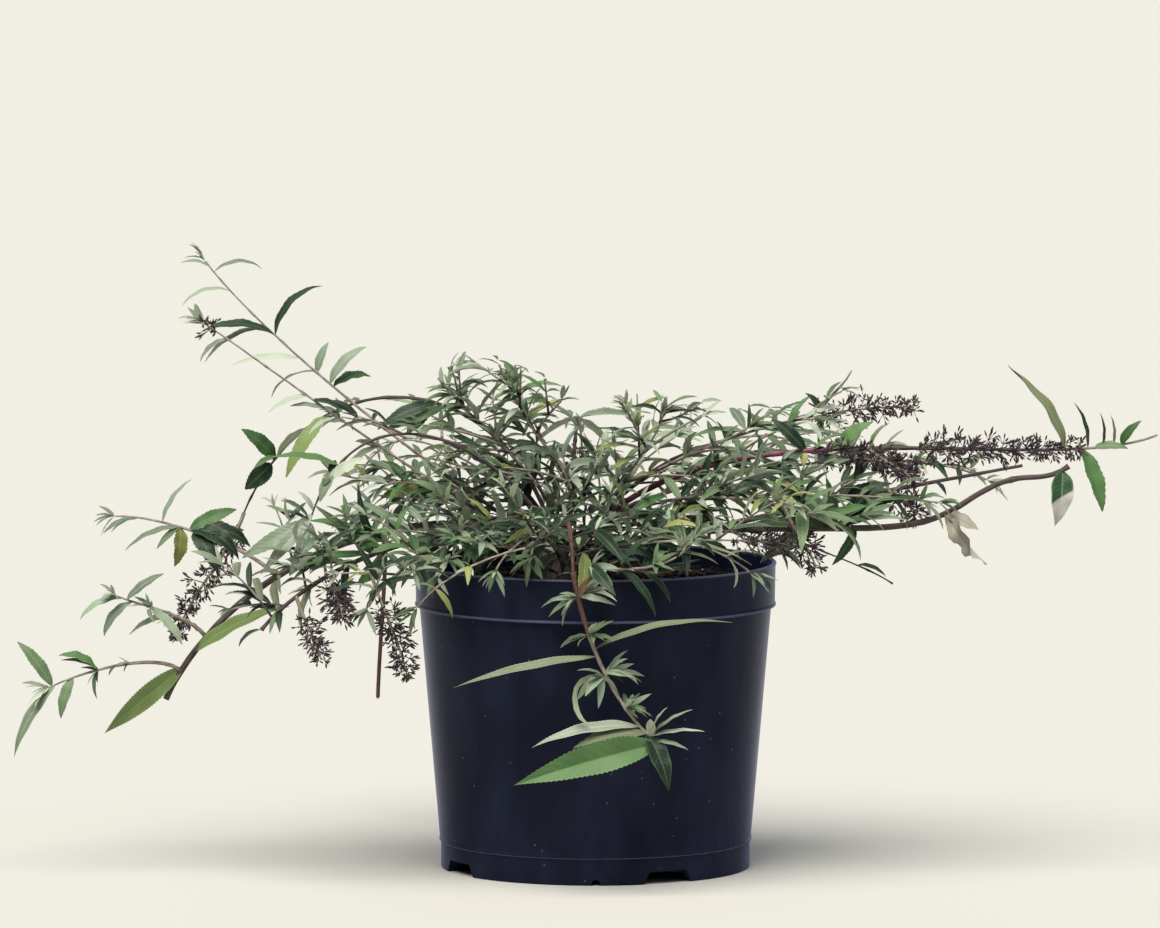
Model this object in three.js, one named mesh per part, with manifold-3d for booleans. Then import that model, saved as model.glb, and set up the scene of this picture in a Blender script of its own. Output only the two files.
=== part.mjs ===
// A young butterfly bush of low, spreading habit in a round black nursery pot.
// Millimetres, +Z up. The origin is the middle of the pot's flat underside, and -Y is the front.
// Arching stems leave a short woody stool. Each ends in a mass of leafy twigs, and some masses
// carry spent flower spikes.
import * as THREE from "three";
import { mergeVertices } from "three/addons/utils/BufferGeometryUtils.js";
import Module from "manifold-3d";

const wasm = await Module();
wasm.setup();

// ---------------------------------------------------------------- driving sizes

const GAP = 0.3; // least air between neighbouring solids
const CUT = 0.45; // how far clear of what carries it a limb or stem is cut

const POT_HEIGHT = 195;
const RIM_RADIUS = 115;
const FOOT_RADIUS = 99;
const WALL = 1.9;
const COLLAR_HEIGHT = 28; // the band round the top that stacked pots hang on
const COLLAR_STEP = 3.2; // how far the band stands out of the wall under it
const SKIRT_HEIGHT = 17; // the plain strip above the foot
const SKIRT_STEP = 0.7;
const PAD_RADIUS = 38; // flat middle of the underside
const CHANNEL_HEIGHT = 7; // the floor is raised between the pad and the foot ring
const FLOOR = 2.6;
const FOOT_WIDTH = 6;
const ROUND_SIDES = 32;
const NOTCHES = 4; // drain openings through the foot
const NOTCH_HEADING = -62; // the first one, to the right of the front
const NOTCH_WIDTH = 36;
const NOTCH_HEIGHT = 8;
const NOTCH_SLOPE = 5; // how much each side leans in
const DRILLED_HEADING = -90; // the first of the small holes between the notches
const DRILLED_RADIUS = 2.6;

const SOIL_TOP = 183;
const SOIL_EDGE = 177; // the compost slopes down to the wall
const SOIL_FLAT = 50;

const STOOL_X = -18; // the plant stands a little left of the pot's middle
const STOOL_RADIUS = 20; // root flare at the compost
const STOOL_WAIST = 15.5;
const STOOL_HEIGHT = 33;
const STOOL_SIDES = 14;
const STEM_ROOT = 0.55; // how far out a stem starts inside the stool, as a share of its waist
const TOP_ROOT = 0.3; // the same for shoots that leave its top
const TIERS = { low: 8, mid: 15, high: 22, top: 28 }; // how far up the stool a stem leaves it

const STEM_SIDES = 6;
const STEM_STEP = 32; // length of one straight facet along a stem
const TWIG_SIDES = 3;
const HANDLE = 0.2; // share of a stem's reach at which its curve's handles stand
const STEM_TIP = 1.1; // radius at the tip of a long stem
const SIDE_FOOT = 1.7; // radius at the foot of a side shoot
const SPRIG_FOOT = 1.5;
const TWIG_TIP = 0.8;

const NODE_SPACING = 30; // along a stem, from one pair of leaves to the next
const LEAF_LENGTH = 54;
const LEAF_SLENDER = 0.27; // width over length
const LEAF_THICK = 1.5;
const LEAF_BELLY = 0.4; // where along it a leaf is widest
const LEAF_BOW = 0.07; // how far its middle stands above its ends, as a share of its length
const LEAF_SUNK = 0.5; // how far behind the middle of its twig a leaf's root lies
const LEAF_SPREAD = [48, 72]; // degrees between a leaf and its stem
const LEAF_DROOP = [0.05, 0.45];
const LEAF_TWIST = 0.6;
const LEAF_SHRINK = 0.4; // leaves near the tip of a stem are shorter by up to this share
const LAST_LEAF = 0.45; // length of the leaf that ends a stem, as a share of the others
const SIDE_LEAF_FROM = 0.3; // how far along a side shoot its first leaves stand
const SPRIG_LENGTH = 46;
const SPRIG_SPREAD = [38, 58];
const SPRIG_SPACING = 34;
const SPRIG_LEAF = 0.8; // length of a leaf on a side twig, as a share of those on its stem
const FLORET_LENGTH = 14;
const FLORET_WIDTH = 8;
const FLORET_SPACING = 15;

// ---------------------------------------------------------------- the plan of the plant

// Long stems. launch: heading in degrees at which one leaves the stool, 0 = +X and 90 = the back,
// and tier: how high up; or on and at: the stem it forks from, and the share of the way along.
// tip: where it ends. rise, hang: how far its curve's two handles stand above its two ends.
// foot: radius at its start. bare: the share of it that is a plain limb; the rest is the stem of
// a mass. On that stem stand pairs of leaves at every spacing, up to the share leafTo, leafy side
// twigs by the number of sprigs, and spikes of spent flowers from one share to another. sides are
// the side shoots, and longLeaves the leaves, that the plant's outline depends on; side gives a
// leaf's side shoot where it isn't on the stem.
const STEMS = [
  {
    name: "left_high", launch: 166, tier: "high", tip: [-248, 24, 384], rise: 20, hang: -58,
    foot: 3.1, bare: 0.4, spacing: 27, leafLength: 44, sprigs: 1,
  },
  {
    name: "left_second", launch: 200, tier: "high", tip: [-247, -30, 349], rise: 10, hang: -30,
    foot: 2.8, bare: 0.42, spacing: 30, leafLength: 42, sprigs: 1, spikes: [[0.93, 1]],
  },
  {
    name: "left_arch", launch: 132, tier: "mid", tip: [-228, 58, 212], rise: 126, hang: 116,
    foot: 3.1, bare: 0.55, leafLength: 46, sprigs: 1,
    sides: [{ at: 0.97, tip: [-268, 44, 143], spike: [0.1, 1] }],
  },
  {
    name: "left_fold", launch: 232, tier: "mid", tip: [-180, -52, 226], rise: 68, hang: 102,
    foot: 2.9, bare: 0.5, leafLength: 46, sprigs: 2,
  },
  {
    name: "left_low", launch: 208, tier: "low", tip: [-210, -82, 160], rise: 50, hang: 46,
    foot: 3.2, bare: 0.48, leafLength: 50, sprigs: 1,
    sides: [
      { at: 0.56, tip: [-137, -76, 117] },
      { at: 0.62, tip: [-119, -112, 128], spike: [0.35, 1] },
      { at: 0.74, tip: [-152, -118, 160], spike: [0.2, 1] },
      { at: 0.86, tip: [-186, -106, 146], spike: [0.3, 1] },
    ],
  },
  {
    name: "left_long", launch: 180, tier: "low", tip: [-273, -12, 108], rise: 58, hang: 104,
    foot: 3.4, bare: 0.5, spacing: 60, leafLength: 48, sprigs: 0,
    sides: [
      { at: 0.64, tip: [-305, 6, 223], rise: 22, hang: 2, leaves: 3, leafLength: 42 },
      { at: 0.84, tip: [-302, -42, 177], rise: 16, hang: -6, leaves: 3, leafLength: 40 },
      { at: 0.93, tip: [-345, -30, 118], rise: 14, hang: 8, leaves: 3, leafLength: 36 },
    ],
    longLeaves: [
      { at: 0.91, to: [-313, -40, 83], width: 21 },
      { at: 0.86, to: [-194, -40, 168], width: 11 },
      { at: 0.99, side: 2, to: [-369, -34, 74], width: 9 },
      { at: 0.99, side: 2, to: [-366, -26, 146], width: 12 },
    ],
  },
  {
    name: "right_long", launch: -20, tier: "low", tip: [299, -34, 256], rise: 56, hang: -70,
    foot: 3.3, bare: 0.6, spacing: 70, leafLength: 40, sprigs: 0,
    longLeaves: [
      { at: 0.985, to: [295, -44, 222], width: 14 },
      { at: 0.74, to: [247, -40, 193], width: 9 },
    ],
  },
  {
    name: "right_second", launch: 14, tier: "low", tip: [272, 20, 254], rise: 22, hang: -10,
    foot: 2.9, bare: 0.58, spacing: 50, leafLength: 46, sprigs: 1,
    sides: [{ at: 0.7, tip: [205, -10, 226], spike: [0.1, 1] }],
  },
  {
    name: "right_red", launch: -4, tier: "high", tip: [356, -8, 276], rise: 102, hang: -30,
    foot: 3.3, bare: 0.42, spacing: 46, leafLength: 42, sprigs: 1, leafTo: 0.6,
    spikes: [[0.6, 0.87]],
    sides: [{ at: 0.52, tip: [222, -38, 252], spike: [0.1, 1] }],
    longLeaves: [
      { at: 0.845, to: [261, -16, 317], width: 13 },
      { at: 0.87, to: [322, -24, 226], width: 15 },
      { at: 0.89, to: [312, 4, 297], width: 6 },
      { at: 0.91, to: [345, -14, 262], width: 8 },
      { at: 0.955, to: [357, -4, 287], width: 9 },
    ],
  },
  {
    name: "right_upper", launch: 30, tier: "high", tip: [203, 34, 290], rise: 66, hang: 4,
    foot: 2.8, bare: 0.5, leafLength: 46, sprigs: 1, leafTo: 0.7, spikes: [[0.72, 1]],
    sides: [{ at: 0.74, tip: [163, 24, 314], leaves: 1, leafLength: 26 }],
  },
  {
    name: "right_front", launch: -42, tier: "mid", tip: [152, -96, 224], rise: 56, hang: 24,
    foot: 2.8, bare: 0.5, leafLength: 58, sprigs: 1,
    sides: [{ at: 0.8, tip: [138, -102, 202], spike: [0.2, 1] }],
    longLeaves: [{ at: 0.98, to: [98, -116, 205], width: 13 }],
  },
  {
    name: "front_over", launch: 266, tier: "mid", tip: [-14, -124, 201], rise: 46, hang: 24,
    foot: 3.0, bare: 1,
  },
  {
    name: "front_left", on: "left_fold", at: 0.3, tip: [-142, -112, 178], rise: 8, hang: 34,
    foot: 2.2, bare: 0.4, spacing: 26, leafLength: 38, sprigs: 0,
  },
  {
    name: "back_left", launch: 112, tier: "low", tip: [-150, 176, 238], rise: 70, hang: 46,
    foot: 3.1, bare: 0.48, sprigs: 2,
  },
  {
    name: "back_middle", launch: 84, tier: "mid", tip: [-8, 228, 226], rise: 96, hang: 70,
    foot: 3.1, bare: 0.48, sprigs: 2, spikes: [[0.9, 1]],
  },
  {
    name: "back_right", launch: 58, tier: "low", tip: [142, 184, 246], rise: 66, hang: 34,
    foot: 3.1, bare: 0.48, sprigs: 2,
  },
  {
    name: "back_weeping", on: "back_middle", at: 0.34, tip: [-92, 226, 150], rise: 50, hang: 116,
    foot: 2.5, bare: 0.5, leafLength: 54, sprigs: 1, spikes: [[0.9, 1]],
  },
  {
    name: "back_far_right", on: "back_right", at: 0.3, tip: [252, 112, 236], rise: 30, hang: 30,
    foot: 2.5, bare: 0.5, leafLength: 48, sprigs: 2, spikes: [[0.9, 1]],
  },
];

// Short shoots, each the stem of one mass.
const SHOOTS = [
  {
    name: "front_hanging", on: "front_over", at: 1, tip: [41, -139, 93], rise: -12, hang: 42,
    foot: 2.2, spacing: 24, leafLength: 26, sprigs: 0, leafTo: 0.86,
    longLeaves: [
      { at: 0.44, to: [-89, -146, 121], width: 8 },
      { at: 0.4, to: [74, -148, 158], width: 8 },
      { at: 0.97, to: [-50, -152, 62], width: 22 },
      { at: 0.9, to: [-40, -150, 86], width: 10 },
      { at: 0.99, to: [47, -146, 58], width: 17 },
      { at: 0.72, to: [-17, -148, 112], width: 14 },
      { at: 0.92, to: [68, -144, 104], width: 5 },
    ],
  },
  {
    name: "front_right", on: "front_over", at: 0.9, tip: [118, -96, 216], rise: 12, hang: 4,
    foot: 1.8, spacing: 26, leafLength: 36, leafTo: 0.7, spikes: [[0.74, 1]],
  },
  {
    name: "top_left", tier: "top", launch: 150, tip: [-92, 26, 302], rise: 46, hang: -24,
    sprigs: 2,
  },
  {
    name: "top_middle", tier: "top", launch: 20, tip: [-50, 4, 304], rise: 50, hang: -40,
    sprigs: 2,
  },
  {
    name: "top_right", on: "right_red", at: 0.16, tip: [42, -22, 288], rise: 26, hang: -22,
    sprigs: 2,
  },
  {
    name: "top_far_left", on: "left_arch", at: 0.34, tip: [-112, 48, 288], rise: 6, hang: -8,
    leafLength: 40,
  },
  {
    name: "top_far_right", on: "right_upper", at: 0.4, tip: [96, 14, 278], rise: 16, hang: -10,
    leafLength: 44, sprigs: 1,
  },
  {
    name: "inner_left", on: "left_long", at: 0.24, tip: [-122, -6, 246], rise: 16, hang: 4,
    sprigs: 2,
  },
  {
    name: "inner_front_left", on: "left_low", at: 0.22, tip: [-88, -62, 214], rise: 8, hang: 12,
    sprigs: 1,
  },
  {
    name: "inner_front", tier: "low", launch: 290, tip: [30, -84, 226], rise: 22, hang: 14,
    sprigs: 1,
  },
  {
    name: "inner_low_front", tier: "low", launch: 258, tip: [-40, -104, 210], rise: 14, hang: 20,
    leafLength: 40,
  },
  {
    name: "inner_right", on: "right_long", at: 0.24, tip: [112, -38, 250], rise: 22, hang: 10,
    sprigs: 2,
  },
  {
    name: "inner_back_right", on: "back_far_right", at: 0.35, tip: [118, 74, 256], rise: 22,
    hang: 6, sprigs: 2,
  },
  {
    name: "inner_back", on: "back_right", at: 0.24, tip: [38, 104, 268], rise: 20, hang: 0,
    sprigs: 2,
  },
  {
    name: "inner_back_left", on: "back_left", at: 0.26, tip: [-128, 96, 262], rise: 24, hang: 10,
    sprigs: 2,
  },
];

// ---------------------------------------------------------------- finishes

const FINISH = {
  pot: { color: 0x191a20, roughness: 0.42 },
  soil: { color: 0x2b211b, roughness: 0.95 },
  bark: { color: 0x5a4338, roughness: 0.8 },
  foliage: { color: 0x5c7a50, roughness: 0.7 },
};

// ---------------------------------------------------------------- solids and meshes

const UP = new THREE.Vector3(0, 0, 1);

function solidOf(geometry) {
  const bare = new THREE.BufferGeometry();
  bare.setAttribute("position", geometry.getAttribute("position"));
  if (geometry.index) bare.setIndex(geometry.index);
  const merged = mergeVertices(bare, 1e-4);
  return new wasm.Manifold(
    new wasm.Mesh({
      numProp: 3,
      vertProperties: new Float32Array(merged.attributes.position.array),
      triVerts: new Uint32Array(merged.index.array),
    }),
  );
}

function geometryOf(solid) {
  const { vertProperties, triVerts } = solid.getMesh();
  const geometry = new THREE.BufferGeometry();
  geometry.setAttribute("position", new THREE.BufferAttribute(vertProperties, 3));
  geometry.setIndex(new THREE.BufferAttribute(triVerts, 1));
  geometry.computeVertexNormals();
  return geometry;
}

// What touches nothing else after a union is a loose scrap, and is dropped.
function largestPiece(solid) {
  return solid.decompose().reduce((best, piece) => (piece.volume() > best.volume() ? piece : best));
}

function lathe(profile, sides) {
  const points = profile.map(([radius, height]) => new THREE.Vector2(radius, height));
  return solidOf(new THREE.LatheGeometry(points, sides).rotateX(Math.PI / 2));
}

// ---------------------------------------------------------------- curves and frames

const vector = (xyz) => new THREE.Vector3(...xyz);

function headingVector(degrees) {
  const angle = THREE.MathUtils.degToRad(degrees);
  return new THREE.Vector3(Math.cos(angle), Math.sin(angle), 0);
}

// A stem's curve. It sets off along launch, or straight for its tip where none is given.
function arch(start, tip, rise, hang, launch) {
  const across = tip.clone().sub(start).setZ(0);
  const span = across.length();
  const away = launch === undefined ? across.clone().normalize() : headingVector(launch);
  const first = start.clone().addScaledVector(away, span * HANDLE);
  const second = tip.clone().addScaledVector(across, -HANDLE);
  first.z += rise;
  second.z += hang;
  return new THREE.CubicBezierCurve3(start, first, second, tip);
}

// The stretch of a curve between two shares of its length.
class Stretch extends THREE.Curve {
  constructor(whole, from, to) {
    super();
    Object.assign(this, { whole, from, to });
  }

  getPoint(share, target) {
    return this.whole.getPointAt(THREE.MathUtils.lerp(this.from, this.to, share), target);
  }
}

// A tapered limb: a closed cylinder whose rings are moved onto the curve. spare makes it that
// much thicker all round and longer at its tip.
function limb(curve, foot, tip, sides, spare = 0) {
  const steps = Math.max(1, Math.round(curve.getLength() / STEM_STEP));
  const frames = curve.computeFrenetFrames(steps);
  const geometry = new THREE.CylinderGeometry(tip + spare, foot + spare, 1, sides, steps);
  const position = geometry.getAttribute("position");
  const point = new THREE.Vector3();
  for (let i = 0; i < position.count; i += 1) {
    const ring = Math.round((position.getY(i) + 0.5) * steps);
    curve.getPointAt(ring / steps, point);
    if (ring === steps) point.addScaledVector(frames.tangents[ring], spare);
    point.addScaledVector(frames.normals[ring], position.getX(i));
    point.addScaledVector(frames.binormals[ring], -position.getZ(i));
    position.setXYZ(i, point.x, point.y, point.z);
  }
  return solidOf(geometry);
}

// ---------------------------------------------------------------- leaves and florets

// A leaf of 8 faces: an octahedron drawn out to a root, two edges, a tip and two cheeks.
// It arches over its middle, and its root lies behind the middle of the twig.
function leafSolid({ root, toward, length, width, over }) {
  const across = over.clone().cross(toward).normalize();
  const normal = toward.clone().cross(across);
  const geometry = new THREE.OctahedronGeometry(1);
  const position = geometry.getAttribute("position");
  const point = new THREE.Vector3();
  for (let i = 0; i < position.count; i += 1) {
    const [x, y, z] = [position.getX(i), position.getY(i), position.getZ(i)];
    let along = LEAF_BELLY * length;
    if (x < -0.5) along = -LEAF_SUNK;
    if (x > 0.5) along = length;
    const bow = Math.abs(x) > 0.5 ? 0 : LEAF_BOW * length;
    point.copy(root).addScaledVector(toward, along);
    point.addScaledVector(across, (y * width) / 2);
    point.addScaledVector(normal, (z * LEAF_THICK) / 2 + bow);
    position.setXYZ(i, point.x, point.y, point.z);
  }
  return solidOf(geometry);
}

// ---------------------------------------------------------------- the growing rule

// The same seed gives the same plant.
function seeded(seed) {
  let state = Math.imul(seed + 1, 2654435761) >>> 0;
  return (low, high) => {
    state = (Math.imul(state, 1664525) + 1013904223) >>> 0;
    return low + ((high - low) * state) / 4294967296;
  };
}

// A direction at spread degrees to the stem, turned about it by turn degrees from level.
function sideways(tangent, turn, spread) {
  const level = tangent.clone().cross(UP);
  if (level.lengthSq() < 1e-4) level.set(1, 0, 0);
  level.normalize().applyAxisAngle(tangent, THREE.MathUtils.degToRad(turn));
  const angle = THREE.MathUtils.degToRad(spread);
  return tangent.clone().multiplyScalar(Math.cos(angle)).addScaledVector(level, Math.sin(angle));
}

// A leaf hangs by its own weight, so its direction is lowered, and its face looks up.
function leafAt(point, tangent, turn, spread, length, random) {
  const toward = sideways(tangent, turn, spread);
  toward.z -= random(...LEAF_DROOP);
  toward.normalize();
  const over = UP.clone().addScaledVector(toward, -UP.dot(toward));
  if (over.lengthSq() < 1e-3) over.copy(tangent);
  over.normalize().applyAxisAngle(toward, random(-LEAF_TWIST, LEAF_TWIST));
  return { root: point, toward, length, width: length * LEAF_SLENDER, over };
}

// Opposite pairs, each a quarter turn from the last, and a single leaf that ends the stem.
function leafPairs(curve, from, to, spacing, leafLength, random) {
  const leaves = [];
  const pairs = Math.max(1, Math.round((curve.getLength() * (to - from)) / spacing));
  const firstTurn = random(0, 90);
  for (let i = 0; i < pairs; i += 1) {
    const share = from + ((to - from) * (i + 0.4)) / pairs;
    const point = curve.getPointAt(share);
    const tangent = curve.getTangentAt(share);
    for (const half of [0, 180]) {
      const turn = firstTurn + 90 * i + half + random(-25, 25);
      const length = leafLength * random(0.78, 1.2) * (1 - LEAF_SHRINK * share);
      leaves.push(leafAt(point, tangent, turn, random(...LEAF_SPREAD), length, random));
    }
  }
  if (to > 0.99) {
    const length = leafLength * LAST_LEAF;
    const [tip, tangent] = [curve.getPointAt(1), curve.getTangentAt(1)];
    leaves.push(leafAt(tip, tangent, random(0, 360), random(5, 20), length, random));
  }
  return leaves;
}

// Side twigs leave in the axils, and carry smaller leaves.
function sprigsOf(curve, count, leafLength, random) {
  const sprigs = [];
  for (let i = 0; i < count; i += 1) {
    const share = 0.15 + (0.65 * (i + 0.5)) / count + random(-0.06, 0.06);
    const start = curve.getPointAt(share);
    const toward = sideways(curve.getTangentAt(share), random(0, 360), random(...SPRIG_SPREAD));
    toward.z = Math.abs(toward.z) * 0.5 + 0.1;
    const tip = start.clone().addScaledVector(toward, SPRIG_LENGTH * random(0.8, 1.25));
    const middle = start.clone().lerp(tip, 0.5).addScaledVector(UP, 4);
    const twig = new THREE.QuadraticBezierCurve3(start, middle, tip);
    const length = leafLength * SPRIG_LEAF;
    sprigs.push({ curve: twig, leaves: leafPairs(twig, 0.35, 1, SPRIG_SPACING, length, random) });
  }
  return sprigs;
}

// Spent florets stand round the stem like a bottle brush that narrows to its end.
function florets(curve, from, to, random) {
  const found = [];
  const whorls = Math.max(2, Math.round((curve.getLength() * (to - from)) / FLORET_SPACING));
  for (let i = 0; i < whorls; i += 1) {
    const share = from + ((to - from) * (i + 0.5)) / whorls;
    const point = curve.getPointAt(share);
    const tangent = curve.getTangentAt(share);
    const size = 1 - (0.45 * i) / whorls;
    for (const half of [0, 180]) {
      const toward = sideways(tangent, 100 * i + half + random(-20, 20), random(55, 75));
      const over = toward.clone().cross(tangent).normalize();
      found.push({
        root: point, toward, over, length: FLORET_LENGTH * size, width: FLORET_WIDTH * size,
      });
    }
  }
  return found;
}

// A leaf that runs from its stem to a given end.
function leafTo(curve, { at, to, width }) {
  const root = curve.getPointAt(at);
  const toward = vector(to).sub(root);
  const length = toward.length();
  toward.normalize();
  const over = UP.clone().addScaledVector(toward, -UP.dot(toward)).normalize();
  over.applyAxisAngle(toward, -0.5);
  return { root, toward, length, width, over };
}

// ---------------------------------------------------------------- keeping neighbours apart

const placed = []; // every solid so far, with its node and its box

function place(node, solid) {
  placed.push({ node, solid, box: solid.boundingBox() });
}

function boxesMeet(a, b) {
  return [0, 1, 2].every((k) => a.min[k] - GAP < b.max[k] && b.min[k] - GAP < a.max[k]);
}

function isClear(solid, node) {
  const box = solid.boundingBox();
  return placed.every(
    (other) =>
      other.node === node || !boxesMeet(box, other.box) || solid.minGap(other.solid, GAP) >= GAP,
  );
}

// ---------------------------------------------------------------- pot and compost

function innerRadius(height) {
  const share = (height - SKIRT_HEIGHT) / (POT_HEIGHT - COLLAR_HEIGHT - SKIRT_HEIGHT);
  return THREE.MathUtils.lerp(FOOT_RADIUS, RIM_RADIUS - COLLAR_STEP, share) - WALL;
}

function potSolid() {
  const collar = POT_HEIGHT - COLLAR_HEIGHT;
  const inside = CHANNEL_HEIGHT + FLOOR + 1.4;
  const profile = [
    [0, 0],
    [PAD_RADIUS, 0],
    [PAD_RADIUS + 6, CHANNEL_HEIGHT],
    [FOOT_RADIUS - FOOT_WIDTH - 3, CHANNEL_HEIGHT],
    [FOOT_RADIUS - FOOT_WIDTH, 0],
    [FOOT_RADIUS - SKIRT_STEP, 0],
    [FOOT_RADIUS - SKIRT_STEP, SKIRT_HEIGHT],
    [FOOT_RADIUS + 0.2, SKIRT_HEIGHT + 1],
    [RIM_RADIUS - COLLAR_STEP, collar],
    [RIM_RADIUS - 0.6, collar + 1],
    [RIM_RADIUS, POT_HEIGHT],
    [RIM_RADIUS - 2.4, POT_HEIGHT],
    [RIM_RADIUS - 2.8, collar + 4],
    [innerRadius(collar), collar],
    [innerRadius(SKIRT_HEIGHT), SKIRT_HEIGHT],
    [FOOT_RADIUS - FOOT_WIDTH - 2.5, inside],
    [PAD_RADIUS + 5, inside - 1.4],
    [PAD_RADIUS - 1, FLOOR],
    [0, FLOOR],
  ];
  const notch = new THREE.Shape();
  notch.moveTo(-NOTCH_WIDTH / 2, -1);
  notch.lineTo(NOTCH_WIDTH / 2, -1);
  notch.lineTo(NOTCH_WIDTH / 2 - NOTCH_SLOPE, NOTCH_HEIGHT);
  notch.lineTo(-NOTCH_WIDTH / 2 + NOTCH_SLOPE, NOTCH_HEIGHT);
  const depth = FOOT_WIDTH + 8;
  let pot = lathe(profile, ROUND_SIDES);
  for (let i = 0; i < NOTCHES; i += 1) {
    const turn = (360 / NOTCHES) * i;
    const cutter = new THREE.ExtrudeGeometry(notch, { depth, bevelEnabled: false });
    cutter.rotateX(Math.PI / 2).rotateZ(Math.PI / 2);
    cutter.translate(FOOT_RADIUS - FOOT_WIDTH - 3, 0, 0);
    cutter.rotateZ(THREE.MathUtils.degToRad(NOTCH_HEADING + turn));
    pot = pot.subtract(solidOf(cutter));
    const drill = new THREE.CylinderGeometry(DRILLED_RADIUS, DRILLED_RADIUS, depth, 8);
    drill.rotateZ(Math.PI / 2).translate(FOOT_RADIUS, 0, DRILLED_RADIUS / 2);
    drill.rotateZ(THREE.MathUtils.degToRad(DRILLED_HEADING + turn));
    pot = pot.subtract(solidOf(drill));
  }
  return pot;
}

function soilSolid() {
  const bottom = CHANNEL_HEIGHT + FLOOR + 1.4 + GAP;
  const collar = POT_HEIGHT - COLLAR_HEIGHT;
  return lathe(
    [
      [0, bottom],
      [FOOT_RADIUS - FOOT_WIDTH - 3.5, bottom],
      [innerRadius(SKIRT_HEIGHT) - GAP, SKIRT_HEIGHT + GAP],
      [innerRadius(collar) - GAP, collar],
      [innerRadius(collar) - GAP, SOIL_EDGE],
      [innerRadius(collar) - 12, SOIL_TOP - 2],
      [SOIL_FLAT, SOIL_TOP],
      [0, SOIL_TOP],
    ],
    ROUND_SIDES,
  );
}

// ---------------------------------------------------------------- stool and limbs

// The stool flares at the compost, narrows, and swells again to the knuckle the stems leave.
function stoolSolid(spare) {
  const foot = SOIL_TOP + GAP;
  const wider = 2 * spare;
  const profile = [
    [0, foot - wider],
    [STOOL_RADIUS + wider, foot - wider],
    [STOOL_WAIST + 1.5 + wider, foot + 6],
    [STOOL_WAIST - 1 + wider, foot + 13],
    [STOOL_WAIST + wider, foot + 22],
    [STOOL_WAIST - 4 + wider, foot + 29],
    [0, foot + STOOL_HEIGHT + wider],
  ];
  return lathe(profile, STOOL_SIDES).translate([STOOL_X, 0, 0]);
}

function stoolPoint(row) {
  const out = STOOL_WAIST * (row.tier === "top" ? TOP_ROOT : STEM_ROOT);
  const middle = new THREE.Vector3(STOOL_X, 0, SOIL_TOP + TIERS[row.tier]);
  return middle.addScaledVector(headingVector(row.launch), out);
}

function stemRadius(row, share) {
  return THREE.MathUtils.lerp(row.foot, STEM_TIP, share);
}

const limbs = new Map(); // the stool and each stem by name, for what grows on them

limbs.set("stool", { grown: stoolSolid });

const bush = new THREE.Group();

function show(name, solid, finish) {
  const looks = { name: finish, metalness: 0, ...FINISH[finish] };
  const mesh = new THREE.Mesh(geometryOf(solid), new THREE.MeshStandardMaterial(looks));
  mesh.name = name;
  bush.add(mesh);
}

function addPlain(name, solid, finish) {
  place(name, solid);
  show(name, solid, finish);
}

const carrierOf = (row) => limbs.get(row.on ?? "stool");

function stemCurve(row) {
  const start = row.on ? carrierOf(row).bare.getPointAt(row.at) : stoolPoint(row);
  return arch(start, vector(row.tip), row.rise, row.hang, row.launch);
}

function addStem(row) {
  const curve = stemCurve(row);
  const bare = new Stretch(curve, 0, row.bare);
  const grown = (spare) => limb(bare, row.foot, stemRadius(row, row.bare), STEM_SIDES, spare);
  const solid = largestPiece(grown(0).subtract(carrierOf(row).grown(CUT)));
  limbs.set(row.name, { curve, bare, grown, row });
  addPlain(`${row.name}_limb`, solid, "bark");
}

// ---------------------------------------------------------------- masses of foliage

// One mass: the pieces that stay clear of every other node, and that are fused at the end.
class Mass {
  constructor(name) {
    this.name = name;
    this.pieces = [];
  }

  add(solid) {
    const clear = isClear(solid, this.name);
    if (clear) {
      this.pieces.push(solid);
      place(this.name, solid);
    }
    return clear;
  }

  fused() {
    return largestPiece(wasm.Manifold.union(this.pieces));
  }
}

function addLeaves(mass, leaves) {
  leaves.forEach((leaf) => mass.add(leafSolid(leaf)));
}

function addTwig(mass, { curve, leaves }, foot) {
  if (mass.add(limb(curve, foot, TWIG_TIP, TWIG_SIDES))) addLeaves(mass, leaves);
}

function sideShoot(stem, side, random) {
  const start = stem.getPointAt(side.at);
  const tip = vector(side.tip);
  const drop = (tip.z - start.z) / 3;
  const curve = arch(start, tip, side.rise ?? drop, side.hang ?? -drop);
  if (side.spike) return { curve, leaves: florets(curve, ...side.spike, random) };
  if (!side.leaves) return { curve, leaves: [] };
  const spacing = (curve.getLength() * (1 - SIDE_LEAF_FROM)) / side.leaves;
  const leaves = leafPairs(curve, SIDE_LEAF_FROM, 1, spacing, side.leafLength, random);
  return { curve, leaves };
}

// The stem of a mass: the leafy end of a long stem, or a short shoot on a limb or the stool.
function massStem(row) {
  if (row.bare !== undefined) {
    const carrier = limbs.get(row.name);
    const stem = new Stretch(carrier.curve, row.bare, 1);
    return { whole: carrier.curve, from: row.bare, stem, foot: stemRadius(row, row.bare), carrier };
  }
  const stem = stemCurve(row);
  return { whole: stem, from: 0, stem, foot: row.foot ?? 2, carrier: carrierOf(row) };
}

function addMassStem(mass, { stem, foot, carrier }) {
  const solid = limb(stem, foot, STEM_TIP, TWIG_SIDES).subtract(carrier.grown(CUT));
  mass.pieces.push(largestPiece(solid));
  place(mass.name, mass.pieces[0]);
}

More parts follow.
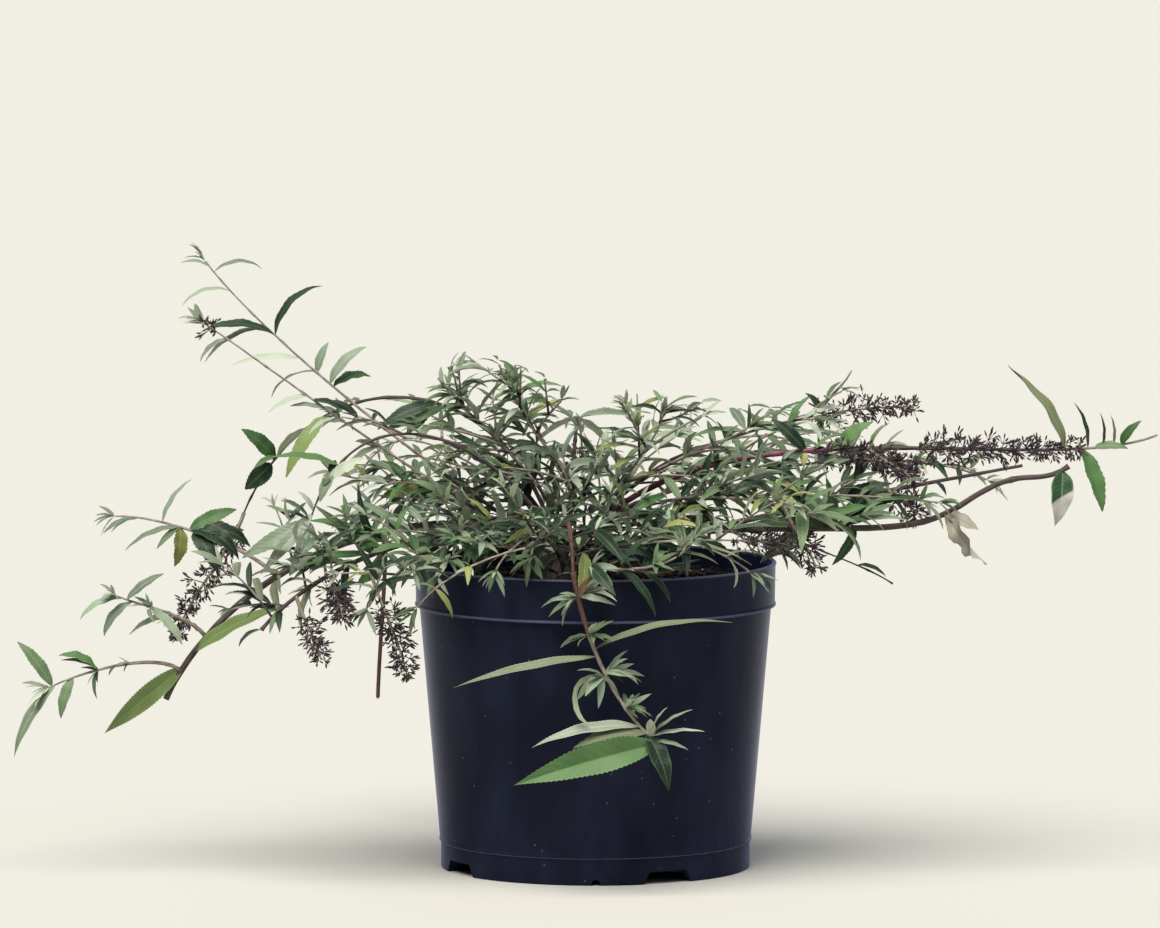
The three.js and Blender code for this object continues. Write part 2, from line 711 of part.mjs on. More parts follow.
function addMassLeaves(mass, row, index, { whole, from, stem }) {
  const random = seeded(index);
  const leafLength = row.leafLength ?? LEAF_LENGTH;
  const sides = (row.sides ?? []).map((side) => sideShoot(whole, side, random));
  sides.forEach((side) => addTwig(mass, side, SIDE_FOOT));
  for (const long of row.longLeaves ?? []) {
    addLeaves(mass, [leafTo(long.side === undefined ? whole : sides[long.side].curve, long)]);
  }
  for (const [begin, end] of row.spikes ?? []) addLeaves(mass, florets(whole, begin, end, random));
  sprigsOf(stem, row.sprigs ?? 0, leafLength, random).forEach((sprig) => {
    addTwig(mass, sprig, SPRIG_FOOT);
  });
  const last = ((row.leafTo ?? 1) - from) / (1 - from);
  addLeaves(mass, leafPairs(stem, 0.04, last, row.spacing ?? NODE_SPACING, leafLength, random));
}

// ---------------------------------------------------------------- assembly

addPlain("pot", potSolid(), "pot");
addPlain("soil", soilSolid(), "soil");
addPlain("stool", stoolSolid(0), "bark");
STEMS.forEach(addStem);

const leafy = [...STEMS.filter((row) => row.bare < 1), ...SHOOTS];
const begun = leafy.map((row, index) => {
  const mass = new Mass(`${row.name}_leaves`);
  const parts = massStem(row);
  addMassStem(mass, parts);
  return { mass, row, index, parts };
});
begun.forEach(({ mass, row, index, parts }) => addMassLeaves(mass, row, index, parts));
begun.forEach(({ mass }) => show(mass.name, mass.fused(), "foliage"));

export default bush;
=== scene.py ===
import math

import bpy
import numpy as np
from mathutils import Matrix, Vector, noise


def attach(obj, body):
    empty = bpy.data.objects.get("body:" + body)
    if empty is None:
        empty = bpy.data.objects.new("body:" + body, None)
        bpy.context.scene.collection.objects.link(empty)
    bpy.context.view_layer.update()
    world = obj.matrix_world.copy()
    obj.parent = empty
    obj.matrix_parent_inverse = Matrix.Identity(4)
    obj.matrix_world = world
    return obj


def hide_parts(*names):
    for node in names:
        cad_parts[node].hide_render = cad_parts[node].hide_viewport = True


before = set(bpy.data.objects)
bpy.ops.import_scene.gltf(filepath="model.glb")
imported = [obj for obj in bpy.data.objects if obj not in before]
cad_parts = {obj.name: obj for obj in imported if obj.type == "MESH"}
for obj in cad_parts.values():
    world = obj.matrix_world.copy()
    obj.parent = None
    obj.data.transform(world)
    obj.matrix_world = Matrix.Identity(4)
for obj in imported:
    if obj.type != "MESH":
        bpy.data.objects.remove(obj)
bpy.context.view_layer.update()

MM = 0.001
UP = np.array([0.0, 0.0, 1.0])
BACK = np.array([0.0, 1.0, 0.0])

# ---------------------------------------------------------------- sizes of the pot and the stool

POT_HEIGHT = 195
RIM_RADIUS = 115
FOOT_RADIUS = 99
WALL = 1.9
COLLAR_HEIGHT = 28
COLLAR_FOOT = POT_HEIGHT - COLLAR_HEIGHT
COLLAR_STEP = 3.2
SKIRT_HEIGHT = 17
SKIRT_STEP = 0.7
PAD_RADIUS = 38
CHANNEL_HEIGHT = 7
FLOOR = 2.6
FOOT_WIDTH = 6
NOTCHES = 4
NOTCH_HEADING = -62
NOTCH_WIDTH = 36
NOTCH_HEIGHT = 8
NOTCH_SLOPE = 5
DRILLED_HEADING = -90
DRILLED_RADIUS = 2.6
DRILLED_SIDES = 24
ROUND_SIDES = 192
# Heights of the pale lines painted on the pot's edges as highlights, and half the width of each line.
PAINTED_EDGE_HIGHLIGHTS = ((POT_HEIGHT, 1.2), (COLLAR_FOOT + 0.9, 0.9), (SKIRT_HEIGHT, 0.4))

SOIL_TOP = 183
SOIL_EDGE = 177
SOIL_DEPTH = 30       # of the bed that shows from inside
SOIL_RINGS = 70
SOIL_SIDES = 220

STOOL_X = -18
STOOL_RADIUS = 20
STOOL_WAIST = 15.5
STOOL_HEIGHT = 33
STOOL_SIDES = 72
KNUCKLE = (16, 7)     # a stem's swelling on the stool: degrees round it, and millimetres up it
STEM_ROOT = 0.55
TOP_ROOT = 0.3
TIERS = {"low": 8, "mid": 15, "high": 22, "top": 28}

# ---------------------------------------------------------------- the growing rule's sizes

HANDLE = 0.2
STEM_TIP = 1.1
SIDE_FOOT = 1.5
SIDE_CUT = 1.4
SPRIG_FOOT = 1.1
TWIG_TIP = 0.55
NODE_SPACING = 30
LEAF_FROM = 0.04           # the share of a leafy stem below its first pair
LEAF_LENGTH = 54
LEAF_SIZES = (0.78, 1.2)   # times that length
LEAF_JITTER = 25           # degrees that a leaf is off its place round the stem
LEAF_SPREAD = (48, 72)
LEAF_DROOP = (0.05, 0.45)
LEAF_TWIST = 0.6
LEAF_SHRINK = 0.4
LAST_LEAF = 0.45
LAST_SPREAD = (5, 20)
NEAR_TIP = 0.99            # leaves that reach this share of a stem end in a leaf and a tuft
SIDE_LEAF_FROM = 0.3
SPRIGS_FROM, SPRIGS_OVER = 0.15, 0.65   # the share of the stem where they start, and their run
SPRIG_JITTER = 0.06
SPRIG_LENGTH = 46
SPRIG_SIZES = (0.8, 1.25)
SPRIG_SPREAD = (38, 58)
SPRIG_SPACING = 34
SPRIG_LEAF = 0.8
SPRIG_LEAF_FROM = 0.35
SPRIG_RISE = (0.5, 0.1)    # of their slope, how much they keep, and how much they add
SPRIG_ARCH = 4
FLORET_SPACING = 15
FLORETS = 4                # a whorl

# Finer growth, which the solids leave out.
LIFE = 0.8                 # a real leaf's length, as a share of the one that stands for it
SLENDER = (0.15, 0.22)     # width over length
LEAF_LIE = {"bend": (0.3, 1.2), "hook": (0, 0.35), "fold": (0.2, 0.75), "twist": (-0.5, 0.5),
            "phase": (0, 6)}
LEAF_WAVE = 0.05
LEAF_TILT = (-0.25, 0.15)  # how far its slope is off level
STEM_SLIM = 0.5            # a real stem's radius, as a share of its solid's
STEM_RELIEF = 0.16         # the height of the bark's ridges, as a share of the radius
NODE_SWELLING = (0.3, 2.2)   # the height of a swelling at a node, and half its length
BARE_NODES = (0.1, 0.09)   # the shares of a limb to its first bare node, and between them
TUFT_LEAF = (11, 22)       # small leaves in the axils
TUFT_SIZES = (0.6, 1.05)   # times that length
TUFT_SLENDER = (0.17, 0.26)
TUFT_SPREAD = (18, 55)
TUFT_BEND = (0.1, 0.7)
TUFT_STEPS = (0.8, 1.4)    # along the bud to the first pair, and from pair to pair
TUFT_LEVELLING = 0.9
TIP_TUFT = 3               # added to their length at the tip
TIP_TUFT_COUNT = (4, 8)
SPRAY = 0.75               # the share of a shoot's leaves that have one tone
FINE_LENGTH = (24, 52)     # finer twigs
FINE_SPREAD = (30, 62)
FINE_RISE = 0.6            # how much of its slope a fine twig keeps
FINE_ARCH = (-5, 7)
FINE_FOOT, FINE_TIP = 0.9, 0.5
FINE_SPACING = 13
FINE_LEAF = (20, 38)
FINE_SIZES = (0.75, 1.15)  # times that length
FINE_SHRINK = 0.35
FINE_LEAF_SPREAD = (35, 68)
FINE_LEAF_FROM = 0.25
FINE_TUFT = 0.6            # the length of its tuft's leaves, times its own leaves'
FINE_TUFT_COUNT = (3, 6)
LEVELLING = 0.5            # how much of its slope a leaf keeps as it turns to the light
LEAF_ROLL = 0.45           # and how far its face still rolls from level
OUTWARD = 0.3              # faces lean out from the plant's middle by this much of the way up
FRONTWARD = 0.35           # and to the window at the front by this much
CYME_SPACING = 2.7         # along a spent spike, from one whorl to the next
CYME_REACH = 13.0
CYME_LOST = 0.06           # the share of its forks that have fallen
CYME_SPREAD = (42, 75)
FORK_AT, FOOT_AT = (0.2, 0.65), (0.03, 0.45)   # the lengths of its stalks, times the reach
STALK_WIDTH, THREAD_WIDTH = 0.8, 0.5
CAPSULES = (6, 12)         # on each fork
CAPSULE_SCATTER = 0.75
CAPSULE = (3.2, 5.6)
CAPSULE_WIDTH = (1.0, 1.5)
OPENING = (240, 266)       # the heights between which the crown opens to the sky
OPEN_SHARE = 0.46          # of its leaves and twigs, left out from there up
SHADE = ((212, 262), (0.85, 0.0))   # heights, and the share of leaves there given the dark tone as painted shade
SHADE_RADIUS = 125
REACH = ((-374, -166, 2), (362, 240, 402))   # the corners of the space the plant fills

# ---------------------------------------------------------------- the plan of the plant

# The kinds of bark along a stem, each with the share of its length where it ends.
YOUNG_BARK = [("brown", 0.3), ("felted", 1)]
BARE_BARK = [("grey", 1)]
BACK_BARK = [("brown", 0.6), ("felted", 1)]
FINE_BARK = [("grey", 0.4), ("felted", 1)]

# What a stem has where its row says nothing else.
PLAIN_STEM = dict(
    handles=(HANDLE, HANDLE), sway=None,      # how its curve bends: see arch
    foot=2, slim=STEM_SLIM, blunt=None,       # its foot's radius, how slim it is, and a cut end
    bare=0, leaf_to=1,                        # its leaves lie between these shares of its length
    spacing=NODE_SPACING, leaf=LEAF_LENGTH, sprigs=0, spikes=(), sides=(),   # as in the solids
    no_sprigs=False, no_spikes=False,         # whether those of the solids are left out here
    own=1, open=OPEN_SHARE, bare_tip=False,   # leaves kept, and lost high up; no tuft at the tip
    listed=(),                                # leaves placed one by one
    fine=0, fine_leaf=FINE_LEAF, lift=0.15,   # finer twigs: count, leaf lengths, upward turn
    tufts=0.5, tuft_leaf=TUFT_LEAF, tuft_count=(2, 6), tuft_tones="tuft", perk=0.4,
    tones="crown", barks=YOUNG_BARK, nodes=())


def stem(name, source, place, tip, rise, hang, **more):
    """A stem of the plan. It leaves a tier of the stool at a heading, or another stem at a share
    of its length; rise and hang lift its two control points."""
    start = dict(tier=source, launch=place) if source in TIERS else dict(on=source, at=place)
    return {**PLAIN_STEM, **start, "name": name, "tip": tip, "rise": rise, "hang": hang, **more}


# What several rows share.
CREST = dict(foot=1.3, open=0, fine=1, tones="crest")   # tips that stand up along the crown
CROWN_BACK = dict(foot=3.1, bare=0.48, sprigs=2, tones="crown", barks=BACK_BARK)
FILLER = dict(foot=1.5, open=0.2, spacing=16, leaf=50, fine=5, fine_leaf=(26, 42), lift=-0.3,
              tufts=0.3, tones="shaded")                # growth within the crown, its leaves mostly dark-toned as painted shade
LOW = dict(lift=-0.1, tones="green")                    # green growth whose fine twigs hang
LOWER = dict(lift=-0.2, tones="green")


def blade(at, to, width, tone, **look):
    """A leaf with its place on the stem, its tip and its width given. side counts the side shoot
    that bears it; face, bend, hook, fold, twist and wave may set how it lies."""
    return dict(at=at, to=to, width=width, tone=tone, **look)


# The long stems. Each has a bare limb and a leafy end.
STEMS = [
    stem("left_high", "high", 166, (-248, 24, 384), 20, -58, foot=3.1, slim=0.42, bare=0.4, spacing=27,
         leaf=44, sprigs=1, no_sprigs=True, own=0.12, tufts=0.3, tones="felted",
         listed=[
             blade(0.97, (-264, 15, 384), 5, "grey", bend=1.3),
             blade(0.97, (-212, 32, 379), 5, "grey", bend=1.5),
             blade(0.912, (-263, 15, 357), 5, "grey", bend=1.4),
             blade(0.775, (-174, 26, 369), 8, "deep", face=(-0.7, -0.6, 0.6), bend=1.5),
             blade(0.777, (-251, 10, 341), 9, "deep", face=(0, -0.6, 1), bend=1.1),
             blade(0.8, (-249, 15, 321), 6, "grey", bend=1.1),
             blade(0.698, (-231, 9, 320), 8, "silver", face=(0, -0.5, 1)),
             blade(0.65, (-170, 23, 333), 7, "grey", face=(-0.6, -0.8, 0.2)),
             blade(0.613, (-146, 24, 330), 8, "grey", face=(-0.5, -0.8, 0.5), bend=1.2),
             blade(0.603, (-143, 26, 311), 10, "fresh", bend=1.1),
             blade(0.568, (-135, 25, 310), 7, "grey", bend=1.0)]),
    stem("left_second", "high", 200, (-247, -30, 349), 10, -30, foot=2.8, slim=0.42, bare=0.42, leaf=42,
         sprigs=1, no_sprigs=True, own=0.3, tufts=0.3, tones="felted", spikes=[(0.96, 1)],
         listed=[
             blade(0.698, (-207, -32, 293), 7, "silver"), blade(0.63, (-193, -29, 297), 6, "grey"),
             blade(0.685, (-148, -16, 286), 9, "deep")]),
    stem("left_arch", "mid", 132, (-228, 58, 212), 126, 116, foot=3.1, bare=0.55, leaf=46, sprigs=1,
         no_sprigs=True, own=0.5, tufts=0.3, tones="green", barks=BARE_BARK,
         sides=[dict(at=0.97, tip=(-268, 44, 143), spike=(0.1, 1))],
         listed=[
             blade(0.835, (-226, 47, 275), 11, "fresh", face=(0.4, -1, 0.4)),
             blade(0.848, (-224, 48, 236), 12, "deep", face=(0.4, -1, 0.3)),
             blade(0.69, (-198, 34, 245), 10, "lime", face=(-0.5, -1, 0.2)),
             blade(0.44, (-139, 24, 277), 9, "deep", face=(-0.6, -0.9, 0.2), bend=1.1),
             blade(0.42, (-135, 26, 276), 7, "mid", face=(0.3, -0.9, 0.3), bend=0.9),
             blade(0.45, (-121, 26, 273), 8, "fresh", face=(0.4, -0.9, 0.2)),
             blade(0.41, (-109, 34, 312), 5, "grey", face=(-0.4, -0.9, 0.2)),
             blade(0.74, (-204, 44, 258), 7, "pale"), blade(0.728, (-159, 56, 278), 8, "grey")]),
    stem("left_fold", "mid", 232, (-180, -52, 226), 68, 102, foot=2.9, bare=0.5, leaf=46, sprigs=2,
         no_sprigs=True, own=0.5, fine=2, tones="green", barks=BARE_BARK,
         listed=[
             blade(0.848, (-174, -55, 238), 8, "grey"), blade(1.0, (-198, -60, 240), 6, "mid"),
             blade(0.825, (-205, -54, 267), 8, "fresh", face=(0, -0.5, 1)),
             blade(0.858, (-164, -45, 264), 6, "deep"), blade(0.863, (-172, -53, 248), 6, "mid"),
             blade(0.878, (-146, -49, 266), 7, "silver", face=(-0.5, -0.9, 0.3)),
             blade(0.973, (-188, -51, 245), 5, "silver"),
             blade(1.0, (-134, -64, 211), 8, "fresh", face=(0, -0.5, 1)),
             blade(1.0, (-193, -60, 192), 8, "silver", face=(0.3, -1, 0.2)),
             blade(1.0, (-198, -56, 241), 5, "deep"), blade(1.0, (-202, -52, 233), 5, "grey"),
             blade(1.0, (-223, -58, 203), 10, "grey", face=(0.3, -1, 0.4), bend=0.7),
             blade(0.98, (-211, -62, 193), 9, "silver", face=(0.2, -1, 0.5), bend=0.6)]),
    stem("left_low", "low", 208, (-210, -82, 160), 50, 46, foot=3.2, slim=0.7, blunt=1.2, bare=0.48,
         sprigs=1, fine=7, fine_leaf=(24, 42), tufts=0.7, barks=BARE_BARK, **LOW,
         sides=[dict(at=0.56, tip=(-137, -76, 117)),
            dict(at=0.62, tip=(-119, -112, 128), spike=(0.35, 1), hangs=(-118, -112, 134)),
            dict(at=0.74, tip=(-152, -118, 160), spike=(0.2, 1), hangs=(-158, -118, 172)),
            dict(at=0.86, tip=(-186, -106, 146), spike=(0.3, 1), hangs=(-172, -106, 144))],
         listed=[
             blade(0.45, (-128, -56, 232), 8, "mid"),
             blade(0.517, (-82, -97, 200), 9, "fresh", face=(0, -0.8, 0.8)),
             blade(0.47, (-150, -60, 240), 7, "grey", face=(0, -0.8, 0.8)),
             blade(0.58, (-150, -62, 250), 6, "deep", face=(-0.6, -0.9, 0.4)),
             blade(0.6, (-178, -62, 238), 7, "mid", face=(-0.4, -0.9, 0.6)),
             blade(0.508, (-91, -62, 204), 8, "fresh"), blade(0.525, (-92, -62, 215), 8, "deep"),
             blade(0.54, (-158, -66, 222), 8, "fresh", face=(0, -0.5, 1)),
             blade(0.56, (-128, -66, 236), 6, "silver"),
             blade(0.61, (-193, -66, 194), 8, "fresh", face=(0, -0.6, 1)),
             blade(0.68, (-150, -70, 196), 7, "mid"), blade(0.02, (-120, -56, 192), 6, "grey", side=0),
             blade(0.075, (-150, -62, 187), 9, "fresh", side=0, face=(0.4, -1, 0.3))]),
    stem("left_long", "low", 180, (-273, -12, 108), 58, 104, foot=3.4, slim=0.75, blunt=1.9, bare=0.5,
         spacing=60, leaf=48, leaf_to=0.8, own=0.4, fine=1, fine_leaf=(20, 34), tones="green",
         barks=BARE_BARK,
         sides=[dict(at=0.64, tip=(-305, 6, 223), rise=22, hang=2, leaves=3, leaf=42),
            dict(at=0.84, tip=(-302, -42, 177), rise=16, hang=-6, leaves=3, leaf=40),
            dict(at=0.93, tip=(-345, -30, 118), rise=14, hang=8, leaves=3, leaf=36)],
         listed=[
             blade(0.458, (-129, -13, 234), 8, "fresh"), blade(0.46, (-139, -9, 242), 7, "grey"),
             blade(0.473, (-176, -6, 229), 6, "mid"), blade(0.475, (-153, -14, 235), 6, "mid"),
             blade(0.92, (-313, 4, 84), 13, "lime", face=(0.4, -1, 0.5), hook=0.1, fold=0.4),
             blade(0.88, (-194, -36, 171), 12, "lime", face=(0, -0.8, 0.8), bend=0.6),
             blade(0.86, (-313, 0, 213), 6, "grey", side=0),
             blade(0.73, (-257, 8, 247), 6, "grey", side=0, face=(-0.8, -0.5, 0.3)),
             blade(0.63, (-299, -8, 203), 7, "grey", side=0),
             blade(0.628, (-267, -6, 192), 11, "yellow", side=0, face=(0.6, -0.8, 0)),
             blade(0.55, (-226, -9, 197), 13, "deep", side=0, face=(0.5, -0.8, 0.6), bend=1.8),
             blade(0.54, (-240, -14, 190), 12, "deep", side=0, face=(0.2, -1, 0.3), bend=1.6),
             blade(0.56, (-219, 3, 204), 11, "deep", side=0, face=(0.6, -0.8, 0.6), bend=1.8),
             blade(0.57, (-228, 3, 228), 9, "fresh", side=0, face=(0, -1, 0.6)),
             blade(0.935, (-326, -46, 163), 7, "grey", side=1, bend=1.2),
             blade(0.838, (-311, -43, 152), 8, "grey", side=1, bend=1.2),
             blade(0.9, (-273, -33, 191), 7, "grey", side=1, face=(-0.7, -0.7, 0.3)),
             blade(0.655, (-261, -37, 146), 8, "grey", side=1),
             blade(0.642, (-340, -27, 138), 10, "fresh", side=2, bend=1.2),
             blade(0.96, (-369, -35, 74), 8, "grey", side=2, face=(0, -0.6, 1), bend=0.9),
             blade(0.825, (-339, -31, 98), 8, "mid", side=2),
             blade(0.99, (-366, -28, 147), 9, "mid", side=2, face=(0.5, -1, 0.5))]),
    stem("right_long", "low", -20, (299, -34, 256), 56, -70, sway=(0.85, 0.11, (0, 0, 18)), foot=3.3,
         slim=0.8, blunt=1.6, bare=0.6, spacing=70, own=0, tones="green", barks=BARE_BARK,
         listed=[
             blade(0.508, (101, -40, 258), 9, "deep", face=(0.2, -0.9, 0.8)),
             blade(0.525, (216, -36, 234), 8, "mid", face=(0, -0.7, 1), bend=1.8),
             blade(0.525, (190, -42, 240), 10, "deep", face=(0, -0.9, 0.8)),
             blade(0.528, (182, -34, 247), 12, "deep", face=(-0.3, -0.9, 0.8)),
             blade(0.52, (124, -38, 246), 12, "mid", face=(0.2, -0.9, 0.8)),
             blade(0.5, (110, -36, 236), 10, "fresh", face=(0.2, -0.9, 0.8)),
             blade(0.515, (146, -40, 252), 8, "fresh", face=(0.2, -0.9, 0.5)),
             blade(0.532, (198, -44, 226), 6, "grey", face=(0, -0.6, 0.8)),
             blade(0.535, (168, -46, 226), 7, "mid", face=(0, -0.6, 0.8)),
             blade(0.475, (104, -42, 199), 13, "deep", face=(0.2, -1, 0.6)),
             blade(0.49, (96, -40, 222), 9, "mid", face=(0.2, -1, 0.8)),
             blade(0.56, (150, -36, 196), 7, "deep", face=(0.5, -1, 0)),
             blade(0.738, (247, -35, 196), 10, "papery", face=(-0.3, -1, 0.2), bend=1.2, hook=1.4,
                   fold=0.8, twist=2.6, wave=0.3),
             blade(0.738, (230, -34, 214), 5, "grey", face=(-0.3, -1, 0.2)),
             blade(0.738, (242, -36, 219), 9, "papery", face=(0.3, -1, 0.4), wave=0.2),
             blade(0.985, (291, -44, 222), 15, "withered", face=(0.3, -1, 0.2), hook=0.8)]),
    stem("right_second", "low", 14, (272, 20, 254), 22, -10, foot=2.9, slim=0.8, blunt=1.0, bare=0.58,
         spacing=50, leaf=46, leaf_to=0.75, sprigs=1, no_sprigs=True, own=0.3, tufts=0.3, tones="green",
         barks=BARE_BARK,
         sides=[dict(at=0.7, tip=(205, -10, 226), spike=(0.1, 1))],
         listed=[
             blade(0.585, (189, 10, 244), 9, "deep", face=(0.2, -0.8, 0.8)),
             blade(0.588, (176, 10, 257), 7, "mid", face=(0, -0.8, 0.8)),
             blade(0.8, (223, 0, 237), 4, "deep", face=(0.4, -0.8, 0.6))]),
    stem("right_red", "high", -4, (356, -8, 276), 102, -30, foot=3.3, slim=0.65, bare=0.42, spacing=46,
         leaf=42, leaf_to=0.6, sprigs=1, no_sprigs=True, own=0.4, open=0.9, fine=1, tones="green",
         barks=[("red", 0.5), ("grey", 0.86), ("felted", 1)], spikes=[(0.6, 0.87)],
         sides=[dict(at=0.52, tip=(222, -38, 252), spike=(0.1, 1), hangs=(202, -38, 250))],
         listed=[
             blade(0.182, (24, -27, 252), 8, "yellow"),
             blade(0.335, (141, -28, 226), 10, "deep", bend=0.9, hook=0.3),
             blade(0.413, (117, -9, 256), 9, "mid", face=(-0.4, -0.8, 0.6)),
             blade(0.415, (132, -9, 256), 5, "yellow"),
             blade(0.417, (112, -6, 286), 9, "deep", face=(-0.2, -0.8, 0.7)),
             blade(0.425, (146, -5, 268), 4, "deep"), blade(0.432, (155, -5, 277), 5, "mid"),
             blade(0.458, (162, -10, 273), 6, "mid", face=(0, -0.8, 0.8)),
             blade(0.468, (176, -8, 285), 9, "fresh", face=(0, -0.8, 0.8)),
             blade(0.47, (169, -10, 264), 7, "deep", face=(0, -0.8, 0.8)),
             blade(0.51, (164, -14, 247), 9, "deep", face=(0.6, -0.8, 0.2)),
             blade(0.845, (257, -3, 317), 13, "scorched", face=(1, -0.6, 0.5), bend=1.1, hook=-0.8,
                   twist=0.3),
             blade(0.873, (322, -15, 228), 12, "fresh", face=(0.7, -1, 0.3), bend=0.4, fold=0.4,
                   twist=0.2),
             blade(0.883, (304, -7, 297), 5, "deep", face=(0.8, -0.5, 0)),
             blade(0.907, (320, -7, 291), 4, "deep", face=(0.8, -0.5, 0)),
             blade(0.925, (327, -4, 289), 4, "tinted", face=(0.8, -0.5, 0)),
             blade(0.938, (346, -12, 286), 7, "fresh", face=(0, -0.8, 0.8)),
             blade(0.893, (338, -11, 268), 7, "mid", face=(0, -0.8, 0.8))]),
    stem("right_upper", "high", 30, (203, 34, 290), 66, 4, foot=2.8, bare=0.5, leaf=46, leaf_to=0.7,
         sprigs=1, own=0.7, fine=4, lift=-0.1, barks=[("red", 0.5), ("felted", 1)], spikes=[(0.72, 1)],
         sides=[dict(at=0.74, tip=(163, 24, 314), leaves=1, leaf=26)],
         listed=[
             blade(0.413, (137, 27, 308), 7, "deep", side=0), blade(0.755, (134, 29, 300), 7, "deep"),
             blade(0.907, (148, 24, 310), 5, "mid", side=0), blade(0.552, (60, 11, 273), 7, "mid"),
             blade(0.595, (130, 12, 274), 7, "deep"), blade(0.61, (134, 16, 296), 6, "fresh")]),
    stem("right_front", "mid", -42, (152, -96, 224), 56, 24, foot=2.8, bare=0.5, leaf=58, sprigs=1,
         own=0.6, bare_tip=True, fine=4, fine_leaf=(28, 46), tufts=0.7,
         barks=[("grey", 0.5), ("felted", 1)], **LOW,
         sides=[dict(at=0.8, tip=(138, -102, 202), spike=(0.2, 1))],
         listed=[blade(0.853, (146, -93, 262), 8, "deep")]),
    stem("front_over", "mid", 266, (-14, -124, 201), 46, 24, foot=3.4, slim=0.8, bare=1,
         barks=[("tan", 1)]),
    stem("front_left", "left_fold", 0.3, (-142, -112, 178), 8, 34, foot=2.2, bare=0.4, spacing=26,
         leaf=42, fine=6, fine_leaf=(20, 36), tufts=0.8, barks=[("grey", 0.6), ("felted", 1)], **LOW),
    stem("back_left", "low", 112, (-150, 176, 238), 70, 46, open=0.75, fine=7, lift=0, tufts=0.6,
         **CROWN_BACK),
    stem("back_middle", "mid", 84, (-8, 228, 226), 96, 70, fine=10, tufts=0.7, spikes=[(0.9, 1)],
         **CROWN_BACK),
    stem("back_right", "low", 58, (142, 184, 246), 66, 34, open=0.65, fine=7, lift=0, tufts=0.6,
         **CROWN_BACK),
    stem("back_weeping", "back_middle", 0.34, (-92, 226, 150), 50, 116, foot=2.5, bare=0.5, sprigs=1,
         open=0.75, fine=9, tufts=0.7, tones="green", barks=BACK_BARK, spikes=[(0.9, 1)]),
    stem("back_far_right", "back_right", 0.3, (252, 112, 236), 30, 30, foot=2.5, bare=0.5, leaf=48,
         sprigs=2, no_sprigs=True, fine=4, tufts=0.6, barks=[("grey", 0.7), ("felted", 1)],
         spikes=[(0.9, 1)], no_spikes=True, **LOWER),
]

